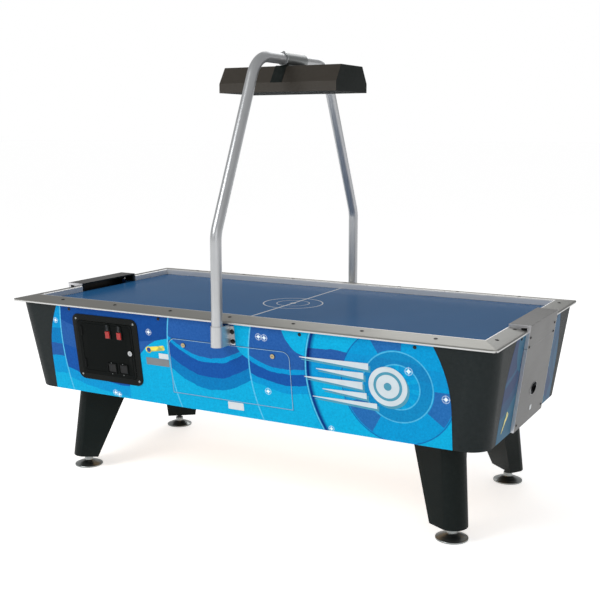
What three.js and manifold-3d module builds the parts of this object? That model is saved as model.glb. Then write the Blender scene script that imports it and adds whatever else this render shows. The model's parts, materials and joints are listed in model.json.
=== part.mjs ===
// Coin-operated air hockey table with an overhead lamp on a tube arch.
// Millimetres. X runs along the table, Y across it with the player's front side at -Y, Z is up.
// The origin is on the floor under the middle of the table.

import * as THREE from 'three';
import { mergeVertices } from 'three/addons/utils/BufferGeometryUtils.js';
import Module from 'manifold-3d';

const wasm = await Module();
wasm.setup();

// ---- driving dimensions ----

const GAP = 0.3;                       // clearance between touching pieces

const CABINET = {
  top: 899, bottom: 452, topX: 1260, topY: 638, bottomX: 1204.6, bottomY: 574, corner: 100, wall: 18,
};
const SEAM = { fromX: 1067, fromY: 434, level: 620, inset: 77 };   // edge of the black corners on each face

const FLOOR = { z: 470, thick: 12 };
const BOARD = { top: 891, thick: 18, x: 1236, y: 612, corner: 92 };
const PLENUM = { x: 1150, y: 520, z: 800, wall: 12, base: 9 };

const RAIL = { outerX: 1268, outerY: 662, innerX: 1178, innerY: 537, corner: 26 };
const GOAL = {
  half: 206, mouthSill: 845, coverHalf: 228, coverTop: 934, faceAbove: 34, sheet: 2.5, stand: 15,
  roofX: [1182, 1279], roofSheet: 3, browDrop: 8, cheekX: 1237,
};
const CHUTE = {
  half: 112, wall: 3, backX: 1184, top: 870, floorBack: 626, floorFront: 577, past: 10.5,
  cutBottom: 569, cutSide: 6,
};
const RETURN_HOLE = { width: 100, height: 56, down: 293 };

const LEG = { bottom: 62, top: 469.5, skin: 5, base: 8, radius: 70, arcFrom: -17, arcTo: 105 };
// Leg sections: centre of the round corner, and the ends of the two flat faces.
const LEG_SECTIONS = {
  outerLow: [[1020, 418], [924, 446], [1050, 344]],
  outerHigh: [[983, 378], [778, 330], [1012, 220]],
  innerLow: [[1017, 415], [944, 437], [1044, 358]],
  innerHigh: [[979, 374], [802, 329], [1004, 234]],
};
const FOOT = {
  x: 1017.5, y: 412, padRadius: 72.5,
  studRadius: 8, studBottom: 3, studTop: 150, nutRadius: 13, nutZ: [49, 57],
};

const ARCH = {
  y: 697, radius: 25.4, wall: 1.8, bottom: 801.5, bendZ: 1301, topZ: 2088, topY: 340, bend: 155,
};
const SLEEVE = { half: 100, outer: 31, inner: 25.8, hangerX: 18, hangerY: 70 };
const BRACKET = {
  z: 799, height: 94, flangeHalf: 51, outer: 29.5, inner: 25.8, plate: 4, floor: 2, reach: 40,
};

const HOOD = { halfX: 319, halfY: 166, topHalfY: 114.5, bottom: 1931, shoulder: 1975, top: 2054, sheet: 2 };
const LAMP = { radius: 13, length: 590, y: 75, z: 1972, socketY: 16, socketZ: 18 };
const DIFFUSER = { sheet: 3, height: 12 };

// Coin door and service door, in the slanted front face: x along it, down measured from its top edge.
const COIN = {
  x: -699.5, down: 205, width: 398, height: 340, corner: 36, plate: 3,
  doorX: -701, doorDown: 205, doorWidth: 330, doorHeight: 274, doorCorner: 14, gap: 2, lip: 8,
};
const COIN_LANES = [-681, -611];
const BUTTON = { down: 125, width: 24, height: 34, lip: 2, bezel: 4 };
const COIN_SLOT = { down: 90, width: 30, height: 26, slot: 3.2 };
const FLAP = { down: 299, width: 46, height: 42, rim: 6 };
const COIN_LOCK = { x: -557, down: 209, radius: 13, cam: 30 };
const MECHANISM = {
  down: 165, width: 54, height: 176, from: 14, to: 66, backWidth: 80, backHeight: 150, backFrom: 60,
  pegRadius: 4, pegDowns: [160, 235],
};
const CASH_BOX = { x: [-760, -560], y: [-500, -330], z: [483, 585], sheet: 3 };
const SERVICE = { half: 325, top: 106, bottom: 380, corner: 36, gap: 2 };
const SERVICE_LOCK = { x: 240, down: 133, radius: 11, cam: 45 };

const BLOWER = { x: 0, y: 60, radius: 160, height: 120, wall: 4, intake: 92, floorCut: 100 };
const IMPELLER = {
  radius: 120, eye: 88, ringUp: 22, ringThick: 5, backUp: 95, backThick: 4, hub: 24, hubUp: 80,
  shaft: 8, shaftAbove: 90, blades: 18, blade: [30, 2.5, 72], bladeRadius: 104, bladeUp: 61, bladeTurn: 0.5,
};
const MOTOR = { bore: 9.5, flange: 88, flangeTop: 8, body: 74, bodyFrom: 12, bodyTo: 96, cap: 66, top: 108 };
const DUCT = { x: [162, 290], riserX: 190, y: [10, 110], z: [495, 595], wall: 3 };
const SUPPLY = { x: [-420, -220], y: [150, 330], height: 90 };
const INLET = {
  x: 900, z: 520, halfX: 23.5, halfZ: 13.5, depth: 40, flangeX: 32, flangeZ: 20, socketX: 13, socketZ: 9,
};

// ---- finishes ----

const finish = (color, roughness, metalness) => () =>
  new THREE.MeshStandardMaterial({ color, roughness, metalness });

const BLUE_LAMINATE = finish(0x1f7fc4, 0.35, 0);
const BLACK_LAMINATE = finish(0x22282a, 0.45, 0);
const BLACK_STEEL = finish(0x15181a, 0.5, 0.3);
const ALUMINIUM = finish(0xa8a6a0, 0.35, 0.9);
const STAINLESS = finish(0x8b8984, 0.3, 1);
const SILVER_PAINT = finish(0xa9adb0, 0.4, 0.5);
const PLAYFIELD_BLUE = finish(0x466f93, 0.15, 0);
const PLYWOOD = finish(0xb08d5e, 0.8, 0);
const ZINC = finish(0xa7aaa6, 0.35, 0.9);
const CHROME = finish(0xc8cacc, 0.15, 1);
const BRASS = finish(0xb99a5b, 0.3, 1);
const RED_LENS = finish(0xd01812, 0.2, 0);
const DARK_METAL = finish(0x2e3236, 0.5, 0.6);
const BROWN_METAL = finish(0x37322b, 0.45, 0.4);
const OPAL = finish(0xe8eef0, 0.4, 0);
const GREY_METAL = finish(0x7c8084, 0.5, 0.7);

// ---- solids ----

function toSolid(geometry) {
  const bare = geometry.clone();
  bare.deleteAttribute('normal');
  bare.deleteAttribute('uv');
  const merged = mergeVertices(bare, 1e-4);
  return new wasm.Manifold(new wasm.Mesh({
    numProp: 3,
    vertProperties: new Float32Array(merged.attributes.position.array),
    triVerts: new Uint32Array(merged.index.array),
  }));
}

function toGeometry(solid) {
  const { vertProperties, triVerts } = solid.getMesh();
  const geometry = new THREE.BufferGeometry();
  geometry.setAttribute('position', new THREE.BufferAttribute(new Float32Array(vertProperties), 3));
  geometry.setIndex(new THREE.BufferAttribute(new Uint32Array(triVerts), 1));
  return geometry;
}

const join = (...solids) => solids.reduce((a, b) => a.add(b));
const cut = (solid, ...tools) => tools.reduce((a, b) => a.subtract(b), solid);

// A block between two corners.
function block([x0, y0, z0], [x1, y1, z1]) {
  const geometry = new THREE.BoxGeometry(x1 - x0, y1 - y0, z1 - z0);
  return toSolid(geometry.translate((x0 + x1) / 2, (y0 + y1) / 2, (z0 + z1) / 2));
}

// A round bar along 'x', 'y' or 'z', from one end to the other.
function rod(axis, radius, [cx, cy, cz], from, to, sides = 24) {
  const geometry = new THREE.CylinderGeometry(radius, radius, to - from, sides);
  const middle = (from + to) / 2;
  if (axis === 'x') geometry.rotateZ(-Math.PI / 2).translate(middle, cy, cz);
  if (axis === 'y') geometry.translate(cx, middle, cz);
  if (axis === 'z') geometry.rotateX(Math.PI / 2).translate(cx, cy, middle);
  return toSolid(geometry);
}

function outline(points) {
  return new THREE.Shape(points.map(([u, v]) => new THREE.Vector2(u, v)));
}

// A rectangle with its four corners rounded: radii in the order low-left, low-right, top-right, top-left.
function roundedOutline(x0, y0, x1, y1, radii) {
  const [a, b, c, d] = Array.isArray(radii) ? radii : [radii, radii, radii, radii];
  const shape = new THREE.Shape();
  shape.moveTo(x0 + a, y0);
  shape.lineTo(x1 - b, y0);
  if (b) shape.absarc(x1 - b, y0 + b, b, -Math.PI / 2, 0);
  shape.lineTo(x1, y1 - c);
  if (c) shape.absarc(x1 - c, y1 - c, c, 0, Math.PI / 2);
  shape.lineTo(x0 + d, y1);
  if (d) shape.absarc(x0 + d, y1 - d, d, Math.PI / 2, Math.PI);
  shape.lineTo(x0, y0 + a);
  if (a) shape.absarc(x0 + a, y0 + a, a, Math.PI, 1.5 * Math.PI);
  return shape;
}

const BASES = {
  z: [[1, 0, 0], [0, 1, 0], [0, 0, 1]],       // outline in X and Y, raised along Z
  y: [[1, 0, 0], [0, 0, 1], [0, -1, 0]],      // outline in X and Z, raised along -Y
  x: [[0, 1, 0], [0, 0, 1], [1, 0, 0]],       // outline in Y and Z, raised along X
};

// An outline raised along an axis between two levels of that axis.
function prism(shape, axis, low, high, curveSegments = 6) {
  const depth = high - low;
  const geometry = new THREE.ExtrudeGeometry(shape, { depth, bevelEnabled: false, curveSegments });
  const [u, v, w] = BASES[axis].map((a) => new THREE.Vector3(...a));
  const start = axis === 'y' ? high : low;
  const shift = w.clone().multiplyScalar(axis === 'y' ? -start : start);
  return toSolid(geometry.applyMatrix4(new THREE.Matrix4().makeBasis(u, v, w).setPosition(shift)));
}

// A closed skin between two rings of the same number of points.
function loft(low, high) {
  const count = low.length;
  const positions = [...low, ...high].flat();
  const index = [];
  for (let i = 0; i < count; i += 1) {
    const j = (i + 1) % count;
    index.push(i, j, count + j, i, count + j, count + i);
  }
  const cap = (ring) => THREE.ShapeUtils.triangulateShape(ring.map(([x, y]) => new THREE.Vector2(x, y)), []);
  cap(low).forEach(([a, b, c]) => index.push(a, c, b));
  cap(high).forEach(([a, b, c]) => index.push(count + a, count + b, count + c));
  const geometry = new THREE.BufferGeometry();
  geometry.setAttribute('position', new THREE.Float32BufferAttribute(positions, 3));
  geometry.setIndex(index);
  return toSolid(geometry);
}

// ---- scene ----

const table = new THREE.Group();

function add(name, solid, material, parent = table) {
  const mesh = new THREE.Mesh(toGeometry(solid), material());
  mesh.name = name;
  parent.add(mesh);
  return mesh;
}

const frontSlope = Math.atan((CABINET.topY - CABINET.bottomY) / (CABINET.top - CABINET.bottom));
const endSlope = Math.atan((CABINET.topX - CABINET.bottomX) / (CABINET.top - CABINET.bottom));

// Frames lying in a slanted face, with their origin in the middle of its top edge.
function faceFrame(side) {
  const frame = new THREE.Group();
  if (side === 'front') {
    frame.position.set(0, -CABINET.topY, CABINET.top);
    frame.rotation.x = frontSlope;
  } else {
    frame.position.set(CABINET.topX, 0, CABINET.top);
    frame.rotation.y = endSlope;
  }
  frame.updateMatrix();
  return frame;
}

const frontFace = faceFrame('front');
table.add(frontFace);

function placed(solid, frame) {
  return toSolid(toGeometry(solid).applyMatrix4(frame.matrix));
}

// ---- cabinet ----

// One level ring of the tapered cabinet, drawn in from its outer face.
function cabinetRing(z, inset, cornerSteps = 9) {
  const t = (z - CABINET.bottom) / (CABINET.top - CABINET.bottom);
  const halfX = CABINET.bottomX + t * (CABINET.topX - CABINET.bottomX) - inset;
  const halfY = CABINET.bottomY + t * (CABINET.topY - CABINET.bottomY) - inset;
  const radius = CABINET.corner - inset;
  const ring = [];
  for (let quarter = 0; quarter < 4; quarter += 1) {
    const cx = (quarter === 0 || quarter === 3 ? 1 : -1) * (halfX - radius);
    const cy = (quarter < 2 ? 1 : -1) * (halfY - radius);
    for (let i = 0; i <= cornerSteps; i += 1) {
      const angle = (quarter + i / cornerSteps) * Math.PI / 2;
      ring.push([cx + radius * Math.cos(angle), cy + radius * Math.sin(angle), z]);
    }
  }
  return ring;
}

const cabinetSolid = (low, high, inset) => loft(cabinetRing(low, inset), cabinetRing(high, inset));

// The blue face between two black corners: straight below the level line, curving in above it.
function faceOutline(half, low, high) {
  const { level, inset } = SEAM;
  const shape = new THREE.Shape();
  const mid = (level + high) / 2;
  shape.moveTo(-half, low);
  shape.lineTo(half, low);
  shape.lineTo(half, level);
  shape.quadraticCurveTo(half, mid, half - inset, high);
  shape.lineTo(inset - half, high);
  shape.quadraticCurveTo(-half, mid, -half, level);
  return shape;
}

function buildCabinet() {
  const { top, bottom, wall } = CABINET;
  const shell = cabinetSolid(bottom, top, 0).subtract(cabinetSolid(bottom - 1, top + 1, wall));
  const long = 1400;
  const faceTool = (axis, grow) => prism(
    faceOutline((axis === 'y' ? SEAM.fromX : SEAM.fromY) + grow, bottom - 5, top + 5), axis, -long, long, 8);
  const frontTool = faceTool('y', 0);
  const endTool = faceTool('x', 0);
  const south = block([-long, -long, 0], [long, 0, 1000]);
  const east = block([0, -long, 0], [long, long, 1000]);

  const coinHalfWidth = COIN.doorWidth / 2 + COIN.gap + COIN.lip;
  const coinHalfHeight = COIN.doorHeight / 2 + COIN.gap + COIN.lip;
  const coinHole = placed(prism(roundedOutline(
    COIN.doorX - coinHalfWidth, -COIN.doorDown - coinHalfHeight,
    COIN.doorX + coinHalfWidth, -COIN.doorDown + coinHalfHeight, COIN.doorCorner), 'y', -60, 60), frontFace);
  const serviceHalf = SERVICE.half + SERVICE.gap;
  const serviceHole = placed(prism(roundedOutline(
    -serviceHalf, -SERVICE.bottom - SERVICE.gap, serviceHalf, -SERVICE.top + SERVICE.gap,
    [0, 0, SERVICE.corner, SERVICE.corner]), 'y', -60, 60), frontFace);
  const longSides = shell.intersect(frontTool);
  add('front_panel', cut(longSides.intersect(south), coinHole, serviceHole), BLUE_LAMINATE);
  const [inletX, inletZ] = [INLET.halfX + 0.5, INLET.halfZ + 0.5];
  const inletHole = block([INLET.x - inletX, 500, INLET.z - inletZ],
    [INLET.x + inletX, 700, INLET.z + inletZ]);
  add('rear_panel', cut(longSides.subtract(south), inletHole), BLUE_LAMINATE);

  const ends = cut(shell.intersect(endTool),
    block([-long, -GOAL.half, GOAL.mouthSill], [long, GOAL.half, 1000]),
    block([-long, -CHUTE.half - CHUTE.cutSide, CHUTE.cutBottom], [long, CHUTE.half + CHUTE.cutSide, 1000]));
  add('left_end_panel', ends.subtract(east), BLUE_LAMINATE);
  add('right_end_panel', ends.intersect(east), BLUE_LAMINATE);

  const corners = cut(shell, faceTool('y', GAP), faceTool('x', GAP));
  add('corner_front_left', corners.intersect(south).subtract(east), BLACK_LAMINATE);
  add('corner_front_right', corners.intersect(south).intersect(east), BLACK_LAMINATE);
  add('corner_rear_left', cut(corners, south, east), BLACK_LAMINATE);
  add('corner_rear_right', corners.subtract(south).intersect(east), BLACK_LAMINATE);

  const floorSolid = cabinetSolid(FLOOR.z, FLOOR.z + FLOOR.thick, wall + GAP);
  const { x, y, floorCut } = BLOWER;
  const intake = block([x - floorCut, y - floorCut, 400], [x + floorCut, y + floorCut, 500]);
  add('cabinet_floor', cut(floorSolid, intake), PLYWOOD);
}

// ---- playing surface and air chamber ----

function buildPlayfield() {
  const { top, thick, x, y, corner } = BOARD;
  const notchX = RAIL.innerX + 2;
  const notch = (side) => block([side > 0 ? notchX : -1400, -GOAL.half, 0],
    [side > 0 ? 1400 : -notchX, GOAL.half, 1000]);
  const board = prism(roundedOutline(-x, -y, x, y, corner), 'z', top - thick, top);
  add('playfield', cut(board, notch(1), notch(-1)), PLAYFIELD_BLUE);

  const { x: px, y: py, z, wall, base } = PLENUM;
  const tray = block([-px, -py, z], [px, py, top - thick - GAP]);
  const inside = block([-px + wall, -py + wall, z + base], [px - wall, py - wall, 1000]);
  const inlet = block([DUCT.riserX + DUCT.wall, DUCT.y[0] + DUCT.wall, 700],
    [DUCT.x[1] - DUCT.wall, DUCT.y[1] - DUCT.wall, 1000]);
  add('air_plenum', cut(tray, inside, inlet), PLYWOOD);
}

// ---- rails ----

// Rail section: how far across the rail from its inner edge (0) to its outer lip (1), and the height.
const RAIL_SECTION = [
  [0, 891.3], [0, 918], [0.03, 921.4], [0.07, 922], [0.9, 911.6], [0.965, 909.4], [1, 905.5], [0.985, 899.3],
  [0.94, 899.3], [0.94, 904.5], [0.88, 907], [0.8, 907.8], [0.8, 899.3], [0.74, 899.3], [0.74, 908.4],
  [0.1, 915], [0.05, 912], [0.05, 891.3],
];

function buildRails() {
  const { outerX, outerY, innerX, innerY, corner } = RAIL;
  const acrossX = outerX - innerX;
  const acrossY = outerY - innerY;
  const plan = prism(roundedOutline(-outerX, -outerY, outerX, outerY, corner), 'z', 880, 930);
  const mitre = (t) => [innerX + acrossX * t, innerY + acrossY * t];
  const [farX, farY] = mitre(1.3);
  const [nearX, nearY] = mitre(-0.2);
  const half = GAP / 2;

  [['front_rail', -1], ['rear_rail', 1]].forEach(([name, side]) => {
    const section = outline(RAIL_SECTION.map(([t, z]) => [side * (innerY + acrossY * t), z]));
    const wedge = outline([[-farX + half, side * farY], [farX - half, side * farY],
      [nearX - half, side * nearY], [-nearX + half, side * nearY]]);
    const bar = prism(section, 'x', -outerX, outerX);
    add(name, bar.intersect(plan).intersect(prism(wedge, 'z', 880, 930)), ALUMINIUM);
  });

  [['left', -1], ['right', 1]].forEach(([end, side]) => {
    const section = outline(RAIL_SECTION.map(([t, z]) => [side * (innerX + acrossX * t), z]));
    const bar = prism(section, 'y', -outerY, outerY).intersect(plan);
    [['front', -1], ['rear', 1]].forEach(([place, way]) => {
      const wedge = outline([[side * farX, way * (farY - half)], [side * farX, way * (GOAL.coverHalf + 1)],
        [side * nearX, way * (GOAL.coverHalf + 1)], [side * nearX, way * (nearY - half)]]);
      add(`end_rail_${end}_${place}`, bar.intersect(prism(wedge, 'z', 880, 930)), ALUMINIUM);
    });
  });
}

// ---- goals ----

// One end: a folded stainless plate roofs the goal mouth and covers the end, and a chute behind it
// drops the puck to the return hole. Built at the right end.
function goalPlate() {
  const { coverHalf, coverTop, sheet, stand, half, roofX, roofSheet, browDrop, cheekX } = GOAL;
  const [roofIn, roofOut] = roofX;
  const frame = faceFrame('end');
  const low = -(CABINET.top - CABINET.bottom - 3) / Math.cos(endSlope);
  const high = GOAL.faceAbove;
  const face = placed(join(
    block([stand - sheet, -coverHalf, low], [stand, coverHalf, high]),
    block([GAP, -coverHalf, low], [stand, sheet - coverHalf, high]),
    block([GAP, coverHalf - sheet, low], [stand, coverHalf, high]),
  ), frame);
  const { width, height, down } = RETURN_HOLE;
  const hole = new THREE.Shape().absellipse(0, -down, width / 2, height / 2, 0, 2 * Math.PI);
  const holeTool = placed(prism(hole, 'x', -20, 60, 14), frame);
  const roof = block([roofIn, -coverHalf, coverTop - roofSheet], [roofOut, coverHalf, coverTop]);
  const brow = block([roofIn, -coverHalf, coverTop - browDrop], [roofIn + sheet, coverHalf, coverTop]);
  const cheek = (way) => block([roofIn, Math.min(way * (half + 2), way * coverHalf), BOARD.top + GAP],
    [cheekX, Math.max(way * (half + 2), way * coverHalf), coverTop - 1]);
  return cut(join(face, roof, brow, cheek(1), cheek(-1)), holeTool);
}

function puckChute() {
  const { half, wall, backX, top, floorBack, floorFront, past } = CHUTE;
  const face = (z) => CABINET.topX - (CABINET.top - z) * Math.tan(endSlope) + past;
  const floorEnd = [face(floorFront), floorFront];
  const section = outline([[backX, top], [backX, floorBack], floorEnd,
    [floorEnd[0], floorEnd[1] - wall], [backX - wall, floorBack - wall], [backX - wall, top]]);
  const side = outline([[backX - wall, top], [backX - wall, floorBack - wall],
    [floorEnd[0], floorEnd[1] - wall], [face(top), top]]);
  return join(
    prism(section, 'y', -half, half),
    prism(side, 'y', -half, wall - half),
    prism(side, 'y', half - wall, half),
  );
}

function buildGoals() {
  const plate = goalPlate();
  const chute = puckChute();
  [['right', 0], ['left', Math.PI]].forEach(([end, turn]) => {
    const group = new THREE.Group();
    group.rotation.z = turn;
    table.add(group);
    add(`goal_plate_${end}`, plate, STAINLESS, group);
    add(`puck_chute_${end}`, chute, GREY_METAL, group);
  });
}

// ---- legs and levelling feet ----

// A leg's section has a round outer corner and two flat faces running in to the points a and b.
function legRing(z, radius, [centre, a, b], steps = 10) {
  const points = [b];
  for (let i = 0; i <= steps; i += 1) {
    const angle = (LEG.arcFrom + (LEG.arcTo - LEG.arcFrom) * i / steps) * Math.PI / 180;
    points.push([centre[0] + radius * Math.cos(angle), centre[1] + radius * Math.sin(angle)]);
  }
  points.push(a);
  return points.map(([x, y]) => [x, y, z]);
}

// A skin between two rings in several levels, so that its twisted faces stay even.
function taper(low, high, levels = 4) {
  const between = (t) => low.map((point, i) => point.map((value, k) => value + t * (high[i][k] - value)));
  let solid = null;
  for (let i = 0; i < levels; i += 1) {
    const slice = loft(between(i / levels), between((i + 1) / levels));
    solid = solid ? solid.add(slice) : slice;
  }
  return solid;
}

// The rear right leg: a folded steel shell, open at the top under the cabinet.
function leg() {
  const { bottom, top, skin, base, radius } = LEG;
  const { outerLow, outerHigh, innerLow, innerHigh } = LEG_SECTIONS;
  const outer = taper(legRing(bottom, radius, outerLow), legRing(top, radius, outerHigh));
  const inner = taper(
    legRing(bottom + base, radius - skin, innerLow),
    legRing(top + 1, radius - skin, innerHigh));
  const studHole = rod('z', FOOT.studRadius + 1, [FOOT.x, FOOT.y, 0], bottom - 5, bottom + base + 5, 20);
  return cut(outer, inner, studHole);
}

// The mirror image of a solid, with its faces turned back to point out.
function mirrored(solid, sx, sy) {
  const geometry = toGeometry(solid).scale(sx, sy, 1);
  if (sx * sy < 0) {
    const { array } = geometry.index;
    for (let i = 0; i < array.length; i += 3) [array[i], array[i + 1]] = [array[i + 1], array[i]];
  }
  return toSolid(geometry);
}

// Pad turned about its stud: a thin rim, a domed top and a collar.
function footPad() {
  const { padRadius, studRadius } = FOOT;
  const profile = [[studRadius + GAP, 3], [18, 3], [20, 0], [padRadius, 0], [padRadius, 7],
    [padRadius - 5, 11], [52, 17], [34, 22], [22, 27], [22, 44], [19, 47], [studRadius + GAP, 47]];
  const points = [...profile, profile[0]].map(([r, z]) => new THREE.Vector2(r, z));
  return toSolid(new THREE.LatheGeometry(points, 28).rotateX(Math.PI / 2));
}

function footStud() {
  const { studRadius, studBottom, studTop, nutRadius, nutZ } = FOOT;
  return join(
    rod('z', studRadius, [0, 0, 0], studBottom, studTop, 16),
    rod('z', nutRadius, [0, 0, 0], ...nutZ, 6),
  );
}

function buildLegs() {
  const pad = footPad();
  const stud = footStud();
  const corner = leg();
  [['front_left', -1, -1], ['front_right', 1, -1], ['rear_left', -1, 1], ['rear_right', 1, 1]].forEach(
    ([place, sx, sy]) => {
      add(`leg_${place}`, mirrored(corner, sx, sy), BLACK_STEEL);
      const foot = new THREE.Group();
      foot.position.set(sx * FOOT.x, sy * FOOT.y, 0);
      table.add(foot);
      add(`foot_stud_${place}`, stud, ZINC, foot);
      add(`foot_pad_${place}`, pad, ZINC, foot);
    });
}

// ---- coin door ----

// A rounded block lying in the front face, between two depths behind that face.
function doorway(x, down, width, height, radius, low, high) {
  const [halfWidth, halfHeight] = [width / 2, height / 2];
  const shape = roundedOutline(x - halfWidth, -down - halfHeight, x + halfWidth, -down + halfHeight, radius);
  return prism(shape, 'y', low, high, radius > 10 ? 5 : 1);
}

function buildCoinDoor() {
  const { x, down, width, height, corner, plate, gap } = COIN;
  const { doorX, doorDown, doorWidth, doorHeight, doorCorner } = COIN;
  const lane = (px, pdown, w, h, low, high, r = 2) => doorway(px, pdown, w, h, r, low, high);
  const ring = cut(
    doorway(x, down, width, height, corner, -plate, -GAP),
    doorway(doorX, doorDown, doorWidth + 2 * gap, doorHeight + 2 * gap, doorCorner, -10, 10));
  add('coin_door_frame', ring, BLACK_STEEL, frontFace);

  const door = join(
    doorway(doorX, doorDown, doorWidth, doorHeight, doorCorner, -plate - 1.5, -1),
    ...COIN_LANES.flatMap((px) => [
      lane(px, COIN_SLOT.down, COIN_SLOT.width, COIN_SLOT.height, -8, -2),
      lane(px, BUTTON.down, BUTTON.width + 2 * BUTTON.bezel, BUTTON.height + 2 * BUTTON.bezel, -7, -2, 4),
      lane(px, FLAP.down, FLAP.width + 2 * FLAP.rim, FLAP.height + 2 * FLAP.rim, -8, -2, 4),
    ]),
  );
  const openings = COIN_LANES.flatMap((px) => [
    lane(px, COIN_SLOT.down, COIN_SLOT.slot, COIN_SLOT.height - 4, -20, 20, 0),
    lane(px, BUTTON.down, BUTTON.width + 1, BUTTON.height + 1, -20, 20),
    lane(px, FLAP.down, FLAP.width + 1.5, FLAP.height + 1.5, -20, 20, 0),
  ]);
  const lockHole = rod('y', COIN_LOCK.radius - 3 + GAP, [COIN_LOCK.x, 0, -COIN_LOCK.down], -20, 20);
  add('coin_door', cut(door, ...openings, lockHole), BLACK_STEEL, frontFace);

  ['left', 'right'].forEach((side, i) => {
    const px = COIN_LANES[i];
    const button = join(
      lane(px, BUTTON.down, BUTTON.width, BUTTON.height, -13, 3),
      lane(px, BUTTON.down, BUTTON.width + 2 * BUTTON.lip, BUTTON.height + 2 * BUTTON.lip, 1, 3),
    );
    add(`reject_button_${side}`, button, RED_LENS, frontFace);
    const flap = lane(px, FLAP.down, FLAP.width, FLAP.height, -4.5, -2.5, 0);
    add(`return_flap_${side}`, flap, BLACK_STEEL, frontFace);
  });

  const { from, to, pegRadius, pegDowns } = MECHANISM;
  const peg = (px, pdown) => rod('y', pegRadius, [px, 0, -pdown], -GAP - 0.4, from + 2, 12);
  const between = (COIN_LANES[0] + COIN_LANES[1]) / 2;
  const mechanism = join(
    ...COIN_LANES.map((px) => lane(px, MECHANISM.down, MECHANISM.width, MECHANISM.height, from, to)),
    lane(between, MECHANISM.down, MECHANISM.backWidth, MECHANISM.backHeight, MECHANISM.backFrom, to),
    ...COIN_LANES.flatMap((px) => pegDowns.map((pdown) => peg(px, pdown))),
  );
  add('coin_mechanism', mechanism, GREY_METAL, frontFace);

  const { x: lx, down: ld, radius: lr, cam } = COIN_LOCK;
  const lock = join(
    rod('y', lr, [lx, 0, -ld], -10, -plate - 1.5 - GAP),
    rod('y', lr - 3, [lx, 0, -ld], -8, 8),
    block([lx - 6, 5, -ld - 6], [lx + 6, 8, -ld + cam]),
  );
  const keyway = block([lx - 1, -12, -ld - 5], [lx + 1, -8, -ld + 5]);
  add('coin_door_lock', cut(lock, keyway), CHROME, frontFace);

  const { x: bx, y: by, z: bz, sheet } = CASH_BOX;
  const outside = block([bx[0], by[0], bz[0]], [bx[1], by[1], bz[1]]);
  const inside = block([bx[0] + sheet, by[0] + sheet, bz[0] + sheet],
    [bx[1] - sheet, by[1] - sheet, bz[1] + 15]);
  add('cash_box', cut(outside, inside), GREY_METAL);
}

// ---- service door ----

function buildServiceDoor() {
  const { half, top, bottom, corner } = SERVICE;
  const { x, down, radius, cam } = SERVICE_LOCK;
  const places = [['left', -x, 1], ['right', x, -1]];
  const shape = roundedOutline(-half, -bottom, half, -top, [0, 0, corner, corner]);
  const leaf = prism(shape, 'y', 0, CABINET.wall);
  const holes = places.map(([, px]) => rod('y', radius - 3 + GAP, [px, 0, -down], -20, 40));
  add('access_door', cut(leaf, ...holes), BLUE_LAMINATE, frontFace);
  places.forEach(([side, px, inward]) => {
    const lock = join(
      rod('y', radius, [px, 0, -down], -5, -GAP),
      rod('y', radius - 3, [px, 0, -down], -3, 24),
      block([Math.min(px, px + inward * cam), 19.5, -down - 6],
        [Math.max(px, px + inward * cam), 22.5, -down + 6]),
    );
    const keyway = block([px - 5, -8, -down - 1], [px + 5, -3, -down + 1]);
    add(`access_lock_${side}`, cut(lock, keyway), BRASS, frontFace);
  });
}

// ---- blower and electrics ----

// How far the long sides' outer face is from the middle of the table at a height.
const wallY = (z) => CABINET.bottomY + (z - CABINET.bottom) * Math.tan(frontSlope);

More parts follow.
